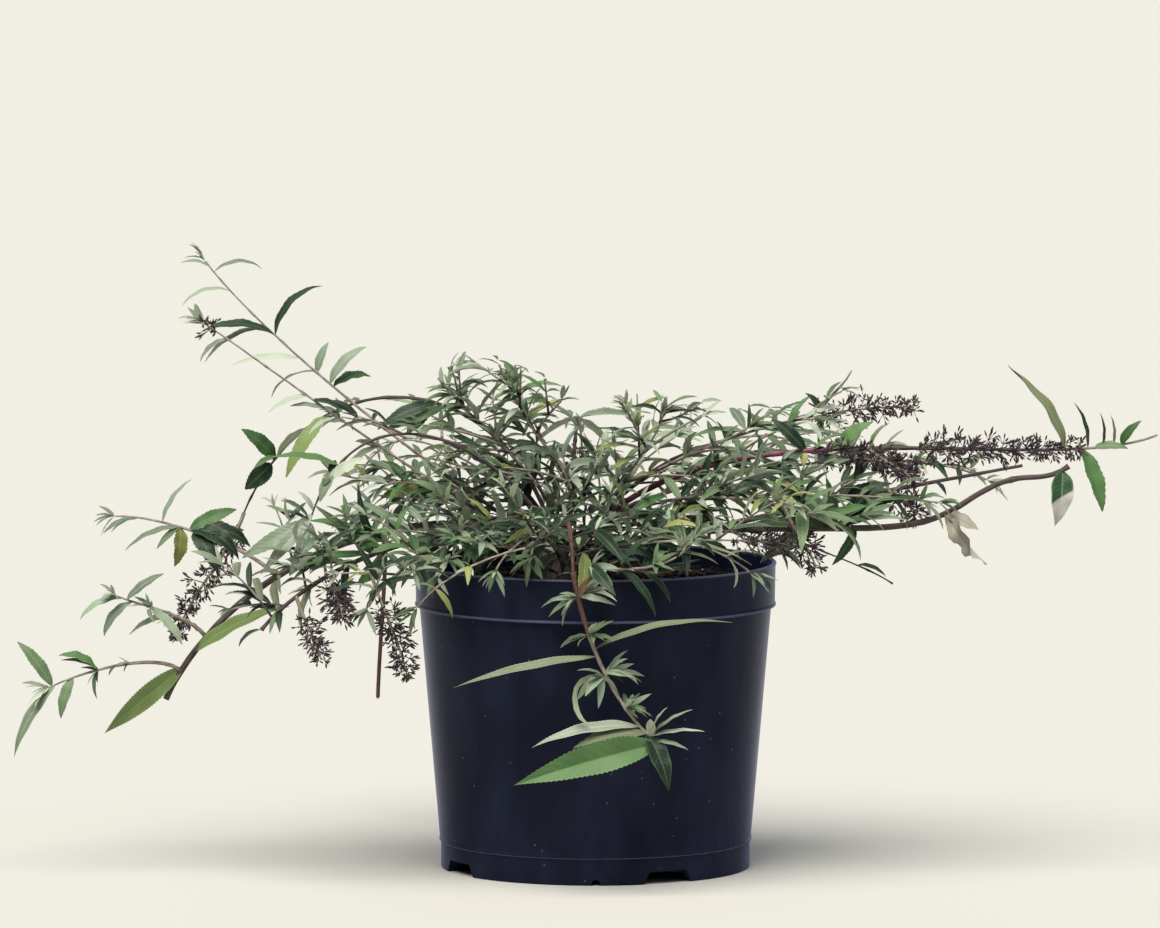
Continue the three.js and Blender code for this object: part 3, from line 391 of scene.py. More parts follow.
# Short shoots that fill the crown and the front, from the stool or from a long stem.
SHOOTS = [
    stem("front_hanging", "front_over", 1, (41, -139, 93), -34, 25, handles=(0.1, 0.6), foot=2.2,
         slim=0.75, spacing=24, leaf=26, leaf_to=0.86, tufts=1, tuft_leaf=(17, 26), tuft_count=(6, 11),
         tuft_tones="bud", perk=1.2, tones="young", barks=[("tan", 0.35), ("felted", 1)],
         listed=[
             blade(0.44, (-89, -143, 131), 6, "pale", face=(0, -0.7, 0.7), bend=0.45, hook=0.1),
             blade(0.4, (85, -142, 172), 6, "pale", face=(0, -0.6, 0.8), bend=0.8, hook=0.1),
             blade(0.975, (-51, -153, 71), 20, "fresh", face=(0, -1, 0.3), bend=0.5, fold=0.5),
             blade(0.9, (46, -147, 66), 13, "deep", face=(0.5, -1, 0.2)),
             blade(0.85, (-40, -149, 95), 9, "silver", face=(0, -0.6, 0.8), bend=0.7),
             blade(0.9, (-14, -148, 94), 10, "pale", face=(0, -0.6, 0.8)),
             blade(0.69, (-4, -148, 108), 9, "pale", face=(-1, -0.2, 0.9), bend=4.1, twist=2.4),
             blade(0.92, (68, -144, 104), 5, "silver", bend=0.4),
             blade(0.92, (60, -146, 118), 5, "grey", bend=0.4),
             blade(0.92, (44, -146, 119), 5, "silver", bend=0.4),
             blade(0.93, (34, -148, 112), 6, "grey", bend=0.4),
             blade(0.95, (58, -144, 92), 5, "silver", bend=0.4)]),
    stem("front_right", "front_over", 0.9, (118, -96, 216), 12, 4, foot=1.8, spacing=26, leaf=42,
         leaf_to=0.7, fine=4, fine_leaf=(24, 42), lift=-0.15, tones="green", spikes=[(0.74, 1)],
         listed=[
             blade(0.06, (-10, -134, 186), 9, "tinted", face=(0.5, -0.9, 0.4)),
             blade(0.42, (98, -118, 206), 4, "pale", face=(0, -0.5, 1))]),
    stem("top_left", "top", 150, (-92, 26, 302), 46, -24, sprigs=2, open=0, fine=7, tufts=0.8,
         tones="crest"),
    stem("top_middle", "top", 20, (-50, 4, 304), 50, -40, sprigs=2, open=0, fine=9, tufts=0.9,
         tones="crest"),
    stem("top_right", "right_red", 0.16, (42, -22, 288), 26, -22, sprigs=2, fine=7, tufts=0.8,
         listed=[blade(0.588, (10, -34, 256), 6, "yellow"), blade(0.665, (-1, -35, 269), 7, "yellow")]),
    stem("top_far_left", "left_arch", 0.34, (-112, 48, 288), 6, -8, leaf=40, own=0.7, fine=2, lift=-0.1),
    stem("top_far_right", "right_upper", 0.4, (96, 14, 278), 16, -10, leaf=44, sprigs=1, fine=5,
         lift=-0.15),
    stem("inner_left", "left_long", 0.24, (-122, -6, 246), 16, 4, sprigs=2, own=0.8, fine=7,
         fine_leaf=(22, 38), lift=-0.1, tufts=0.6,
         listed=[
             blade(0.69, (-109, -4, 246), 5, "silver"), blade(0.69, (-132, -14, 233), 8, "mid"),
             blade(0.988, (-145, -6, 261), 6, "grey"), blade(0.988, (-99, -2, 264), 6, "mid"),
             blade(0.86, (-136, -14, 237), 9, "yellow", face=(0, -1, 0.2))]),
    stem("inner_front_left", "left_low", 0.22, (-88, -62, 214), 8, 12, sprigs=1, fine=9,
         fine_leaf=(22, 40), tufts=0.9, **LOW,
         listed=[
             blade(0.455, (-80, -44, 240), 7, "yellow"),
             blade(0.825, (-76, -94, 205), 12, "fresh", face=(0, -1, 0.3))]),
    stem("inner_front", "low", 290, (30, -84, 226), 22, 14, sprigs=1, fine=9, fine_leaf=(22, 40),
         tufts=0.9, **LOW,
         listed=[blade(0.777, (9, -76, 257), 7, "yellow"), blade(0.818, (14, -83, 240), 7, "yellow")]),
    stem("inner_low_front", "low", 258, (-40, -104, 210), 14, 20, leaf=44, fine=7, fine_leaf=(22, 38),
         tufts=0.7, **LOW),
    stem("inner_right", "right_long", 0.24, (112, -38, 250), 22, 10, sprigs=2, fine=7,
         fine_leaf=(26, 42), tufts=0.7, **LOWER,
         listed=[blade(0.79, (70, -52, 253), 7, "mid")]),
    stem("inner_back_right", "back_far_right", 0.35, (118, 74, 256), 22, 6, sprigs=2, fine=6, lift=-0.2,
         tufts=0.6),
    stem("inner_back", "back_right", 0.24, (38, 104, 268), 20, 0, sprigs=2, fine=8, tufts=0.8),
    stem("inner_back_left", "back_left", 0.26, (-128, 96, 262), 24, 10, sprigs=2, open=0.8, fine=5,
         tufts=0.6),
]

# Slender shoots that the solids leave out: the tips of the crown, one with a spent spike, one
# dark bare twig, and leafy ones over the rim and within the crown. Each has the name of the mass
# that it is counted with.
OVERHANGS = [
    stem("top_left", "top_left", 0.75, (-100, 18, 310), 6, -8, spacing=11, leaf=38, **CREST),
    stem("top_left", "top_left", 0.9, (-87, 14, 318), 4, -10, spacing=10, leaf=38, **CREST),
    stem("top_middle", "top_middle", 0.8, (-61, 0, 320), 6, -10, spacing=10, leaf=40, **CREST),
    stem("top_middle", "top_middle", 0.95, (-50, -6, 314), 3, -8, spacing=10, leaf=38, **CREST),
    stem("top_middle", "top_middle", 0.7, (-22, 0, 297), 8, -4, foot=1.3, spacing=11, leaf=38, open=0,
         fine=1),
    stem("top_right", "top_right", 0.7, (19, -24, 296), 6, -8, foot=1.3, spacing=12, leaf=36, open=0,
         tufts=0.4),
    stem("top_right", "top_right", 0.95, (42, -24, 298), 3, -8, foot=1.3, spacing=11, leaf=36, open=0,
         tufts=0.4),
    stem("right_red", "right_red", 0.98, (204, -22, 258), -2, 2, foot=1.4, blunt=0.5, own=0,
         spikes=[(0.15, 1)]),
    stem("inner_right", "right_long", 0.62, (188, -34, 184), -6, 12, foot=1.0, blunt=0.5, own=0,
         barks=BARE_BARK,
         listed=[blade(0.72, (184, -36, 189), 4, "deep", face=(0, -0.6, 1), bend=1.2)]),
    stem("inner_low_front", "front_over", 0.84, (-111, -130, 180), 10, 26, foot=1.5, spacing=26,
         leaf=36, own=0.7, tufts=0.35, tones="green"),
    stem("inner_front", "front_over", 0.94, (62, -124, 222), -4, -26, foot=1.6, spacing=22, leaf=46,
         fine=3, fine_leaf=(20, 32), tufts=0.8, **LOW),
    stem("inner_front_left", "left_low", 0.2, (-98, -112, 198), 14, 22, foot=1.6, spacing=22, leaf=52,
         fine=4, fine_leaf=(24, 38), tufts=0.7, **LOWER),
    stem("inner_front", "front_over", 0.6, (-62, -116, 202), 6, 18, foot=1.5, spacing=22, leaf=46,
         fine=3, fine_leaf=(22, 34), tufts=0.7, **LOWER),
    stem("front_right", "front_over", 0.75, (96, -112, 200), 16, 20, foot=1.5, spacing=26, leaf=50,
         fine=1, fine_leaf=(22, 36), tufts=0.4, **LOWER),
    stem("inner_right", "right_front", 0.3, (116, -66, 208), 6, 16, foot=1.5, spacing=26, fine=1,
         fine_leaf=(24, 38), tufts=0.4, **LOWER),
    stem("inner_left", "inner_left", 0.55, (-152, -24, 226), 4, 6, foot=1.4, spacing=20, leaf=44,
         fine=3, fine_leaf=(22, 36), tufts=0.6, **LOWER),
    stem("back_left", "back_left", 0.22, (-84, 74, 236), 18, 12, **FILLER),
    stem("back_weeping", "back_weeping", 0.24, (-30, 70, 238), 18, 12, **FILLER),
    stem("right_front", "right_front", 0.72, (216, -38, 236), 8, 6, foot=1.4, spacing=18, leaf=46,
         open=0.2, fine=2, fine_leaf=(24, 36), tufts=0.3, **LOWER),
]

# How the leaf colours are dealt out to a mass, spray by spray.
TONES = {
    "crown": {"mid": 0.36, "deep": 0.22, "grey": 0.2, "fresh": 0.09, "silver": 0.07,
              "yellow": 0.05, "tinted": 0.003},
    "crest": {"mid": 0.34, "deep": 0.08, "grey": 0.3, "fresh": 0.08, "silver": 0.15,
              "yellow": 0.05},
    "green": {"fresh": 0.24, "deep": 0.4, "mid": 0.24, "grey": 0.06, "yellow": 0.05,
              "tinted": 0.003},
    "felted": {"grey": 0.5, "deep": 0.25, "silver": 0.25},
    # Mostly the dark tone: painted shade for the leaves deep within the crown.
    "shaded": {"deep": 0.7, "mid": 0.2, "grey": 0.1},
    "young": {"fresh": 0.25, "mid": 0.5, "deep": 0.25},
    "tuft": {"silver": 0.15, "grey": 0.42, "mid": 0.43},
    "bud": {"silver": 0.1, "grey": 0.4, "mid": 0.5},
}

# The height of the crown's top at each X, measured at Y = 0. It falls away to the back.
CROWN_TOP = [(-150, 402), (-137, 308), (-104, 308), (-98, 322), (-86, 330), (-60, 332),
             (-45, 320), (-30, 314), (-19, 311), (-8, 297), (6, 296), (20, 309), (30, 301),
             (42, 309), (52, 300), (76, 302), (92, 297), (126, 293), (136, 309), (165, 316),
             (176, 306), (200, 306), (215, 290), (240, 292), (250, 328), (374, 328)]
CROWN_FALL = 0.096

# ---------------------------------------------------------------- colours and shader nodes


def linear(colour):
    """An sRGB hex colour as linear red, green, blue and alpha."""
    shares = [int(colour[i:i + 2], 16) / 255 for i in (1, 3, 5)]
    return [s / 12.92 if s <= 0.04045 else ((s + 0.055) / 1.055) ** 2.4 for s in shares] + [1.0]


def fill(tree, node, sockets):
    """Sets a node's sockets. Each takes a value, or the output that is linked to it."""
    for name, value in sockets.items():
        if isinstance(value, bpy.types.NodeSocket):
            tree.links.new(value, node.inputs[name])
        else:
            node.inputs[name].default_value = value


def add(tree, kind, sockets=None, output=0, **settings):
    """Adds a node, and returns one of its outputs. In a MapRange, socket 0 is the value, 1 and 2
    its range, and 3 and 4 what that becomes; in a MIX, 0 is the share, 6 and 7 the colours."""
    node = tree.nodes.new("ShaderNode" + kind)
    for name, value in settings.items():
        setattr(node, name, value)
    fill(tree, node, sockets or {})
    return node.outputs[output]


MIX = dict(kind="Mix", output=2, data_type="RGBA")   # a mix of two colours


def new_material(name, sockets):
    """A material, and its Principled shader with these constants in its sockets."""
    material = bpy.data.materials.new(name)
    material.use_nodes = True
    shader = material.node_tree.nodes["Principled BSDF"]
    fill(material.node_tree, shader, sockets)
    return material, material.node_tree, shader


def millimetres(tree):
    """The place on the object in millimetres, for patterns whose scale is a real size."""
    place = add(tree, "TexCoord", output="Object")
    return add(tree, "VectorMath", {0: place, "Scale": 1 / MM}, operation="SCALE")


# Leaf colours: the upper side, the felt of fine hairs underneath, and the midrib and veins.
LEAF_COLOURS = {
    "deep": ("#16271b", "#b9c2ac", "#4f6b4a"),
    "fresh": ("#33562a", "#b9c69e", "#557c3d"),
    "mid": ("#445a3c", "#c2cab0", "#7c9368"),
    "grey": ("#667761", "#cad0bd", "#a0ad94"),
    "silver": ("#84907d", "#ccd1c1", "#b4bca8"),
    "yellow": ("#6a7336", "#a0a66c", "#9c9f5c"),
    "lime": ("#5f743a", "#93a168", "#82964f"),
    "tinted": ("#5b6a34", "#a0985e", "#8f8f52"),
    "pale": ("#656d52", "#979d80", "#8a9270"),
    "papery": ("#8e897b", "#a39e90", "#6f6856"),
    "withered": ("#1d4023", "#a3ad92", "#6f8a5c"),
    "scorched": ("#66724d", "#949c70", "#8f9a66"),
}
THIN_FELT = "#9aa886"   # where the green shows through the hairs
# From which share of its length a leaf has died back, and to what colour.
DEAD_TIPS = {"withered": (0.5, "#a5a39a"), "scorched": (0.78, "#2f2723"),
             "tinted": (0.68, "#54402a")}
DEAD_SLANT = 0.3        # how much the dead end's line runs forward across the leaf
VEIN_PAIRS = 12
VEIN_LEAN = 0.13        # how far a side vein runs forward on its way to the margin
RIB_SHARE = 0.05        # of the blade's half width
RIB_PALE, VEIN_PALE, MARGIN_PALE = 0.55, 0.14, 0.6
UPPER_VALUES, UPPER_HUES = (0.7, 1.9), (0.51, 0.485)   # from one leaf to another; 0.5 is its own
FELT_VALUES = (0.85, 1.25)
LEAF_BUMP = 0.3 * MM


def leaf_pattern(tree):
    """From the mesh's own map: a spot's shares along and across the leaf, the quilting's height
    between the side veins, and how far the spot is on a side vein, the midrib or the margin."""
    uv = add(tree, "TexCoord", output="UV")
    along, across = (add(tree, "SeparateXYZ", {0: uv}, output) for output in (0, 1))
    aside = add(tree, "Math", {0: across, 1: 2.0, 2: -1.0}, operation="MULTIPLY_ADD")
    aside = add(tree, "Math", {0: aside}, operation="ABSOLUTE")
    ahead = add(tree, "Math", {0: aside, 1: -VEIN_LEAN, 2: along}, operation="MULTIPLY_ADD")
    quilt = add(tree, "Math", {0: ahead, 1: 0.5 / VEIN_PAIRS}, operation="PINGPONG")
    height = add(tree, "Math", {0: quilt, 1: VEIN_PAIRS * 2.0}, operation="MULTIPLY")
    vein = add(tree, "MapRange", {0: height, 1: 0.0, 2: 0.3, 3: VEIN_PALE, 4: 0.0})
    rib = add(tree, "MapRange", {0: aside, 1: RIB_SHARE, 2: RIB_SHARE * 2, 3: RIB_PALE, 4: 0.0})
    margin = add(tree, "MapRange", {0: aside, 1: 0.8, 2: 1.0, 3: 0.0, 4: MARGIN_PALE})
    pale = add(tree, "Math", {0: vein, 1: rib}, operation="MAXIMUM")
    pale = add(tree, "Math", {0: pale, 1: margin}, operation="MAXIMUM")
    return along, across, height, pale


def by_leaf(tree, low, high):
    """A value between two limits, one for each leaf."""
    island = add(tree, "NewGeometry", output="Random Per Island")
    return add(tree, "MapRange", {0: island, 3: low, 4: high})


def died_back(tree, tone, along, across, skin):
    """The skin's colour, with the end of the leaf dead past a slanting line on some tones."""
    if tone not in DEAD_TIPS:
        return skin
    start, dead = DEAD_TIPS[tone]
    place = add(tree, "Math", {0: across, 1: DEAD_SLANT, 2: along}, operation="MULTIPLY_ADD")
    gone = add(tree, "MapRange", {0: place, 1: start + 0.13, 2: start + 0.17})
    return add(tree, sockets={0: gone, 6: skin, 7: linear(dead)}, **MIX)


def upper_leaf(tone, colour, veins):
    """The leaf's upper skin: dull satin, quilted between the side veins, with a paler midrib and
    a felted margin."""
    material, tree, shader = new_material(f"{tone}_leaf_skin", {
        "Roughness": 0.48, "IOR": 1.42, "Specular IOR Level": 0.35})
    along, across, height, pale = leaf_pattern(tree)
    body = add(tree, "HueSaturation", {
        "Color": linear(colour), "Saturation": 0.86, "Value": by_leaf(tree, *UPPER_VALUES),
        "Hue": by_leaf(tree, *UPPER_HUES)})
    skin = add(tree, sockets={0: pale, 6: body, 7: linear(veins)}, **MIX)
    bump = add(tree, "Bump", {"Height": height, "Strength": 0.35, "Distance": LEAF_BUMP})
    fill(tree, shader, {"Base Color": died_back(tree, tone, along, across, skin), "Normal": bump})
    return material


def leaf_felt(tone, colour):
    """The underside's felt of pale hairs, thin between the raised veins, where the green shows
    through: no gloss, and a soft sheen at a low angle."""
    material, tree, shader = new_material(f"{tone}_leaf_felt", {
        "Roughness": 0.9, "IOR": 1.4, "Sheen Weight": 0.2, "Sheen Roughness": 0.6,
        "Specular IOR Level": 0.2})
    along, across, _, pale = leaf_pattern(tree)
    body = add(tree, "HueSaturation",
               {"Color": linear(colour), "Value": by_leaf(tree, *FELT_VALUES)})
    hairs = add(tree, "TexNoise", {"Vector": millimetres(tree), "Scale": 1.6})
    thin = add(tree, "MapRange", {0: hairs, 1: 0.4, 2: 0.65})
    cover = add(tree, "Math", {0: pale, 1: 2.0, 2: thin}, operation="MULTIPLY_ADD")
    felt = add(tree, sockets={0: cover, 6: linear(THIN_FELT), 7: body}, **MIX)
    bump = add(tree, "Bump", {"Height": pale, "Strength": 0.4, "Distance": LEAF_BUMP})
    fill(tree, shader, {"Base Color": died_back(tree, tone, along, across, felt), "Normal": bump})
    return material


# Bark colours: the body, the darker furrows, and how rough it is to the eye.
BARK_COLOURS = {
    "brown": ("#3b2c2b", "#1b1416", 0.7),
    "grey": ("#554647", "#2b2327", 0.7),
    "red": ("#86465a", "#552c3c", 0.5),
    "tan": ("#6a4a3e", "#3c2923", 0.75),
    "felted": ("#a0978c", "#62564f", 0.85),
}
STREAK = 0.9       # width in millimetres of the streaks that run along the bark
STREAK_LENGTH = 7


def bark(kind):
    """Thin bark of a young shrub, with streaks that run along the stem."""
    body, furrow, roughness = BARK_COLOURS[kind]
    material, tree, shader = new_material(f"{kind}_bark", {"Roughness": roughness, "IOR": 1.45})
    place = add(tree, "VectorMath", {0: add(tree, "TexCoord", output="UV"),
                                     1: (1 / STREAK, 1 / STREAK_LENGTH, 0)}, operation="MULTIPLY")
    streaks = add(tree, "TexNoise", {"Vector": place, "Scale": 1.0, "Detail": 4})
    share = add(tree, "MapRange", {0: streaks, 1: 0.38, 2: 0.6})
    colour = add(tree, sockets={0: share, 6: linear(furrow), 7: linear(body)}, **MIX)
    bump = add(tree, "Bump", {"Height": streaks, "Strength": 0.5, "Distance": 0.3 * MM})
    fill(tree, shader, {"Base Color": colour, "Normal": bump})
    return material


def spent_flower():
    """Dry seed capsules and stalks: dark brown, matt, some bleached by the weather."""
    material, tree, shader = new_material("dry_capsules", {"Roughness": 0.8, "IOR": 1.45})
    island = add(tree, "NewGeometry", output="Random Per Island")
    colour = add(tree, sockets={0: island, 6: linear("#1a1518"), 7: linear("#5c4d52")}, **MIX)
    fill(tree, shader, {"Base Color": colour})
    return material


SPECK_CELL = 7      # millimetres from one dust speck to the next, where all show
SPECK_RADIUS = 0.4
SPECK_CROWD = (0.8, 0.1)   # the share that shows at the foot, and from near the rim up
SPECK_COVER = 0.5


def dust_specks(tree, place, level):
    """How much of a spot is under a speck of dust. The specks thicken towards the foot."""
    distance, chance = (
        add(tree, "TexVoronoi", {"Vector": place, "Scale": 1 / SPECK_CELL}, output)
        for output in ("Distance", "Color"))
    low, high = SPECK_CROWD
    crowd = add(tree, "MapRange", {0: level, 1: 0.0, 2: POT_HEIGHT * 0.8, 3: low, 4: high})
    shown = add(tree, "Math", {0: add(tree, "SeparateColor", {0: chance}), 1: crowd},
                operation="LESS_THAN")
    near = add(tree, "Math", {0: distance, 1: SPECK_RADIUS / SPECK_CELL}, operation="LESS_THAN")
    dust = add(tree, "Math", {0: shown, 1: near}, operation="MULTIPLY")
    return add(tree, "Math", {0: dust, 1: SPECK_COVER}, operation="MULTIPLY")


def polypropylene():
    """Moulded polypropylene, coloured through with carbon black: its fine mould grain scatters
    the mirror image away but for the last few degrees at the edges, where a cool rim stays.
    Faint hand marks, pale lines painted on the edges as highlights, and specks of dry compost dust."""
    material, tree, shader = new_material("black_polypropylene", {
        "Roughness": 0.25, "IOR": 1.49, "Specular IOR Level": 0.03, "Sheen Weight": 0.3,
        "Sheen Roughness": 0.3, "Sheen Tint": linear("#8095f0")})
    place = millimetres(tree)
    level = add(tree, "SeparateXYZ", {0: place}, 2)
    marks = add(tree, "VectorMath", {0: place, 1: (0.035, 0.035, 0.012)}, operation="MULTIPLY")
    smudge = add(tree, "TexNoise", {"Vector": marks, "Scale": 1.0, "Detail": 3})
    tint = add(tree, "MapRange", {0: smudge, 1: 0.4, 2: 0.75})
    body = add(tree, sockets={0: tint, 6: linear("#171a28"), 7: linear("#222739")}, **MIX)
    dust = dust_specks(tree, place, level)
    body = add(tree, sockets={0: dust, 6: body, 7: linear("#9a9690")}, **MIX)
    # Painted highlights: pale bands at the rim, the collar's foot and the skirt line.
    for height, reach in PAINTED_EDGE_HIGHLIGHTS:
        edge = add(tree, "Math", {0: level, 1: height, 2: reach}, operation="COMPARE")
        body = add(tree, sockets={0: edge, 6: body, 7: linear("#4f5265")}, **MIX)
    satin = add(tree, "MapRange", {0: smudge, 3: 0.2, 4: 0.32})
    grain = add(tree, "TexNoise", {"Vector": place, "Scale": 0.9, "Detail": 2})
    bump = add(tree, "Bump", {"Height": grain, "Strength": 0.12, "Distance": 0.1 * MM})
    fill(tree, shader, {"Base Color": body, "Roughness": satin, "Normal": bump})
    return material


def compost_material(name, dark, light):
    """Potting compost: damp dark fines, with lighter fibres in them."""
    material, tree, shader = new_material(name, {"Roughness": 0.95, "IOR": 1.4})
    fines = add(tree, "TexNoise", {"Vector": millimetres(tree), "Scale": 0.5, "Detail": 6})
    share = add(tree, "MapRange", {0: fines, 1: 0.4, 2: 0.7})
    colour = add(tree, sockets={0: share, 6: linear(dark), 7: linear(light)}, **MIX)
    bump = add(tree, "Bump", {"Height": fines, "Strength": 0.8, "Distance": 1.0 * MM})
    fill(tree, shader, {"Base Color": colour, "Normal": bump})
    return material


# ---------------------------------------------------------------- meshes from arrays


def unit(v):
    v = np.asarray(v, float)
    return v / np.linalg.norm(v, axis=-1, keepdims=True)


def round_angles(sides):
    return np.arange(sides) * 2 * math.pi / sides


def sleeve(rows, sides):
    """The faces on rows of points round an axis, closed by fans to point 0 at the start and to
    point 1 at the end."""
    number = 2 + np.arange(rows * sides).reshape(rows, sides)
    after = np.roll(number, -1, axis=1)
    quads = np.stack([number[:-1], after[:-1], after[1:], number[1:]], -1).reshape(-1, 4)
    start = np.stack([np.zeros(sides, int), after[0], number[0]], 1)
    end = np.stack([number[-1], after[-1], np.ones(sides, int)], 1)
    return [quads, np.concatenate([start, end])]


def in_scene(name, data):
    """A new object of some data, in the scene."""
    made = bpy.data.objects.new(name, data)
    bpy.context.scene.collection.objects.link(made)
    return made


class Heap:
    """Small shapes gathered until they become one mesh."""

    def __init__(self):
        self.points = []
        self.faces = []
        self.slots = []
        self.places = []
        self.crisp = []
        self.count = 0

    def put(self, points, faces, slots=(0, 0), places=None, crisp=None):
        """Adds copies of one shape: points is copies x points x 3, or one shape's points x 3.
        faces are arrays of point numbers, one row a face, and slots their material numbers."""
        points = np.asarray(points, float)
        points = points.reshape(-1, points.shape[-2], 3)
        copies, size = points.shape[:2]
        first = self.count + size * np.arange(copies)
        for numbers, slot in zip(faces, slots):
            self.faces.append((numbers[None] + first[:, None, None]).reshape(
                -1, numbers.shape[1]))
            self.slots.append(np.tile(np.broadcast_to(slot, len(numbers)), copies))
        self.points.append(points.reshape(-1, 3))
        self.places.append(np.tile(np.zeros((size, 2)) if places is None else places,
                                   (copies, 1)))
        self.crisp.append(np.tile(np.zeros(size, bool) if crisp is None else crisp, copies))
        self.count += copies * size

    def piece(self, name, materials):
        """The gathered shapes as one smooth mesh, with sharp edges between crisp points."""
        sizes = np.concatenate([np.full(len(f), f.shape[1]) for f in self.faces])
        corners = np.concatenate([f.ravel() for f in self.faces]).astype(np.int32)
        mesh = bpy.data.meshes.new(name)
        mesh.vertices.add(self.count)
        mesh.vertices.foreach_set("co", (np.concatenate(self.points) * MM).ravel())
        mesh.loops.add(len(corners))
        mesh.loops.foreach_set("vertex_index", corners)
        mesh.polygons.add(len(sizes))
        mesh.polygons.foreach_set("loop_start", np.cumsum(sizes) - sizes)
        mesh.polygons.foreach_set("material_index", np.concatenate(self.slots))
        mesh.polygons.foreach_set("use_smooth", np.ones(len(sizes), bool))
        layer = mesh.uv_layers.new(name="place")
        layer.data.foreach_set("uv", np.concatenate(self.places)[corners].ravel())
        mesh.update(calc_edges=True)
        ends = np.empty(2 * len(mesh.edges), np.int32)
        mesh.edges.foreach_get("vertices", ends)
        sharp = np.concatenate(self.crisp)[ends.reshape(-1, 2)].all(1)
        mesh.edges.foreach_set("use_edge_sharp", sharp)
        for material in materials:
            mesh.materials.append(material)
        return in_scene(name, mesh)


LEAF_RIPPLES = 19   # radians of the margin's wave from the root to the tip


class LeafShape:
    """The grid that leaves of one size are bent from: a root point, rows of points, and a tip.
    Both faces share the margin. full and taper shape the outline towards the root and the tip,
    and columns are the shares across it."""

    def __init__(self, rows, columns, full, taper, tooth, thick):
        self.thick = thick
        across = len(columns)
        along = (np.arange(rows) + 1) / (rows + 1)
        wide = along ** full * (1 - along) ** taper
        wide = wide / wide.max()
        shares = np.tile(np.array(columns, float), (rows, 1))
        grid_u = np.repeat(along[:, None], across, axis=1)
        grid_v = shares * wide[:, None]
        toothed = np.arange(rows) % 2 == 1
        for edge in (0, -1):
            grid_v[:, edge] *= np.where(toothed, 1 + tooth, 1 - tooth / 2)
            grid_u[:, edge] += np.where(toothed, 0.5, 0) * min(1, tooth * 8) / (rows + 1)
        upper = np.ones((rows, across))
        upper[:, [0, -1]] = 0

        def with_ends(upper, under, root, tip):
            both = np.concatenate([upper, under[:, 1:-1]], axis=1)
            return np.concatenate([[root, tip], both.ravel()])

        self.u = with_ends(grid_u, grid_u, 0, 1)
        self.v = with_ends(grid_v, grid_v, 0, 0)
        self.side = with_ends(upper, -upper, 0, 0)
        self.crisp = self.side == 0
        self.places = np.stack([self.u, 0.5 + with_ends(shares, shares, 0, 0) / 2], axis=1)
        self.faces, self.slots = self.skins(rows, across)

    def skins(self, rows, across):
        """The faces of the upper skin, in slot 0, and of the felt under it, in slot 1."""
        number = 2 + np.arange(rows * (2 * across - 2)).reshape(rows, -1)
        top = number[:, :across]
        under = np.concatenate([top[:, :1], number[:, across:], top[:, -1:]], axis=1)
        quads, quad_slots, tris, tri_slots = [], [], [], []
        for k in range(across - 1):
            a, b = top[:, k], top[:, k + 1]
            c, d = under[:, k], under[:, k + 1]
            quads += [np.stack([a[:-1], a[1:], b[1:], b[:-1]], 1)]
            quads += [np.stack([c[:-1], d[:-1], d[1:], c[1:]], 1)]
            quad_slots += [0] * (rows - 1) + [1] * (rows - 1)
            tris += [(0, a[0], b[0]), (a[-1], 1, b[-1]), (0, d[0], c[0]), (c[-1], d[-1], 1)]
            tri_slots += [0, 0, 1, 1]
        return ([np.concatenate(quads), np.array(tris)],
                [np.array(quad_slots), np.array(tri_slots)])

    def bent(self, leaves):
        """The points of each leaf, bent to its own arch, fold, twist and wave."""

        def take(key):
            return np.array([leaf[key] for leaf in leaves], float)

        root, toward, over = take("root"), unit(take("toward")), take("over")
        length, width, arch, hook, fold, twist, wave, phase = (
            take(key)[:, None]
            for key in ("length", "width", "bend", "hook", "fold", "twist", "wave", "phase"))
        across = unit(np.cross(over, toward))
        normal = np.cross(toward, across)
        half = arch / 2
        angle = arch * (self.u - 0.5) + hook * self.u ** 4
        radius = 0.5 / np.sin(half)
        ahead = radius * (np.sin(arch * (self.u - 0.5)) + np.sin(half))
        lift = radius * (np.cos(arch * (self.u - 0.5)) - np.cos(half))
        aside = width / 2 * self.v
        ripple = wave * width * np.abs(self.v) * np.sin(LEAF_RIPPLES * self.u + phase)
        rise = fold * np.abs(aside) + ripple + self.side * self.thick / 2
        turn = twist * (self.u - 0.3)
        level = aside * np.cos(turn) - rise * np.sin(turn)
        raised = aside * np.sin(turn) + rise * np.cos(turn)
        x = ahead * length + raised * np.sin(angle)
        z = (lift - hook * 0.12 * self.u ** 5) * length + raised * np.cos(angle)
        return (root[:, None] + toward[:, None] * x[..., None] + normal[:, None] * z[..., None]
                + across[:, None] * level[..., None])


class Spindle:
    """A small round solid along a line, by its radius at shares of the way."""

    def __init__(self, profile, sides):
        shares, radii = np.array(profile).T
        turn = round_angles(sides)
        self.u = np.concatenate([[0, 1], np.repeat(shares, sides)])
        self.y = np.concatenate([[0, 0], (radii[:, None] * np.cos(turn)).ravel()])
        self.z = np.concatenate([[0, 0], (radii[:, None] * np.sin(turn)).ravel()])
        self.faces = sleeve(len(shares), sides)

    def laid(self, roots, tips, widths):
        roots, tips = np.asarray(roots, float), np.asarray(tips, float)
        forward = tips - roots
        helper = np.where(np.abs(unit(forward)[:, 2:]) > 0.9, [[1.0, 0, 0]], [[0, 0, 1.0]])
        across = unit(np.cross(helper, forward))
        other = unit(np.cross(forward, across))
        widths = np.asarray(widths, float)[:, None, None] / 2
        return (roots[:, None] + forward[:, None] * self.u[:, None]
                + (across[:, None] * self.y[:, None] + other[:, None] * self.z[:, None]) * widths)


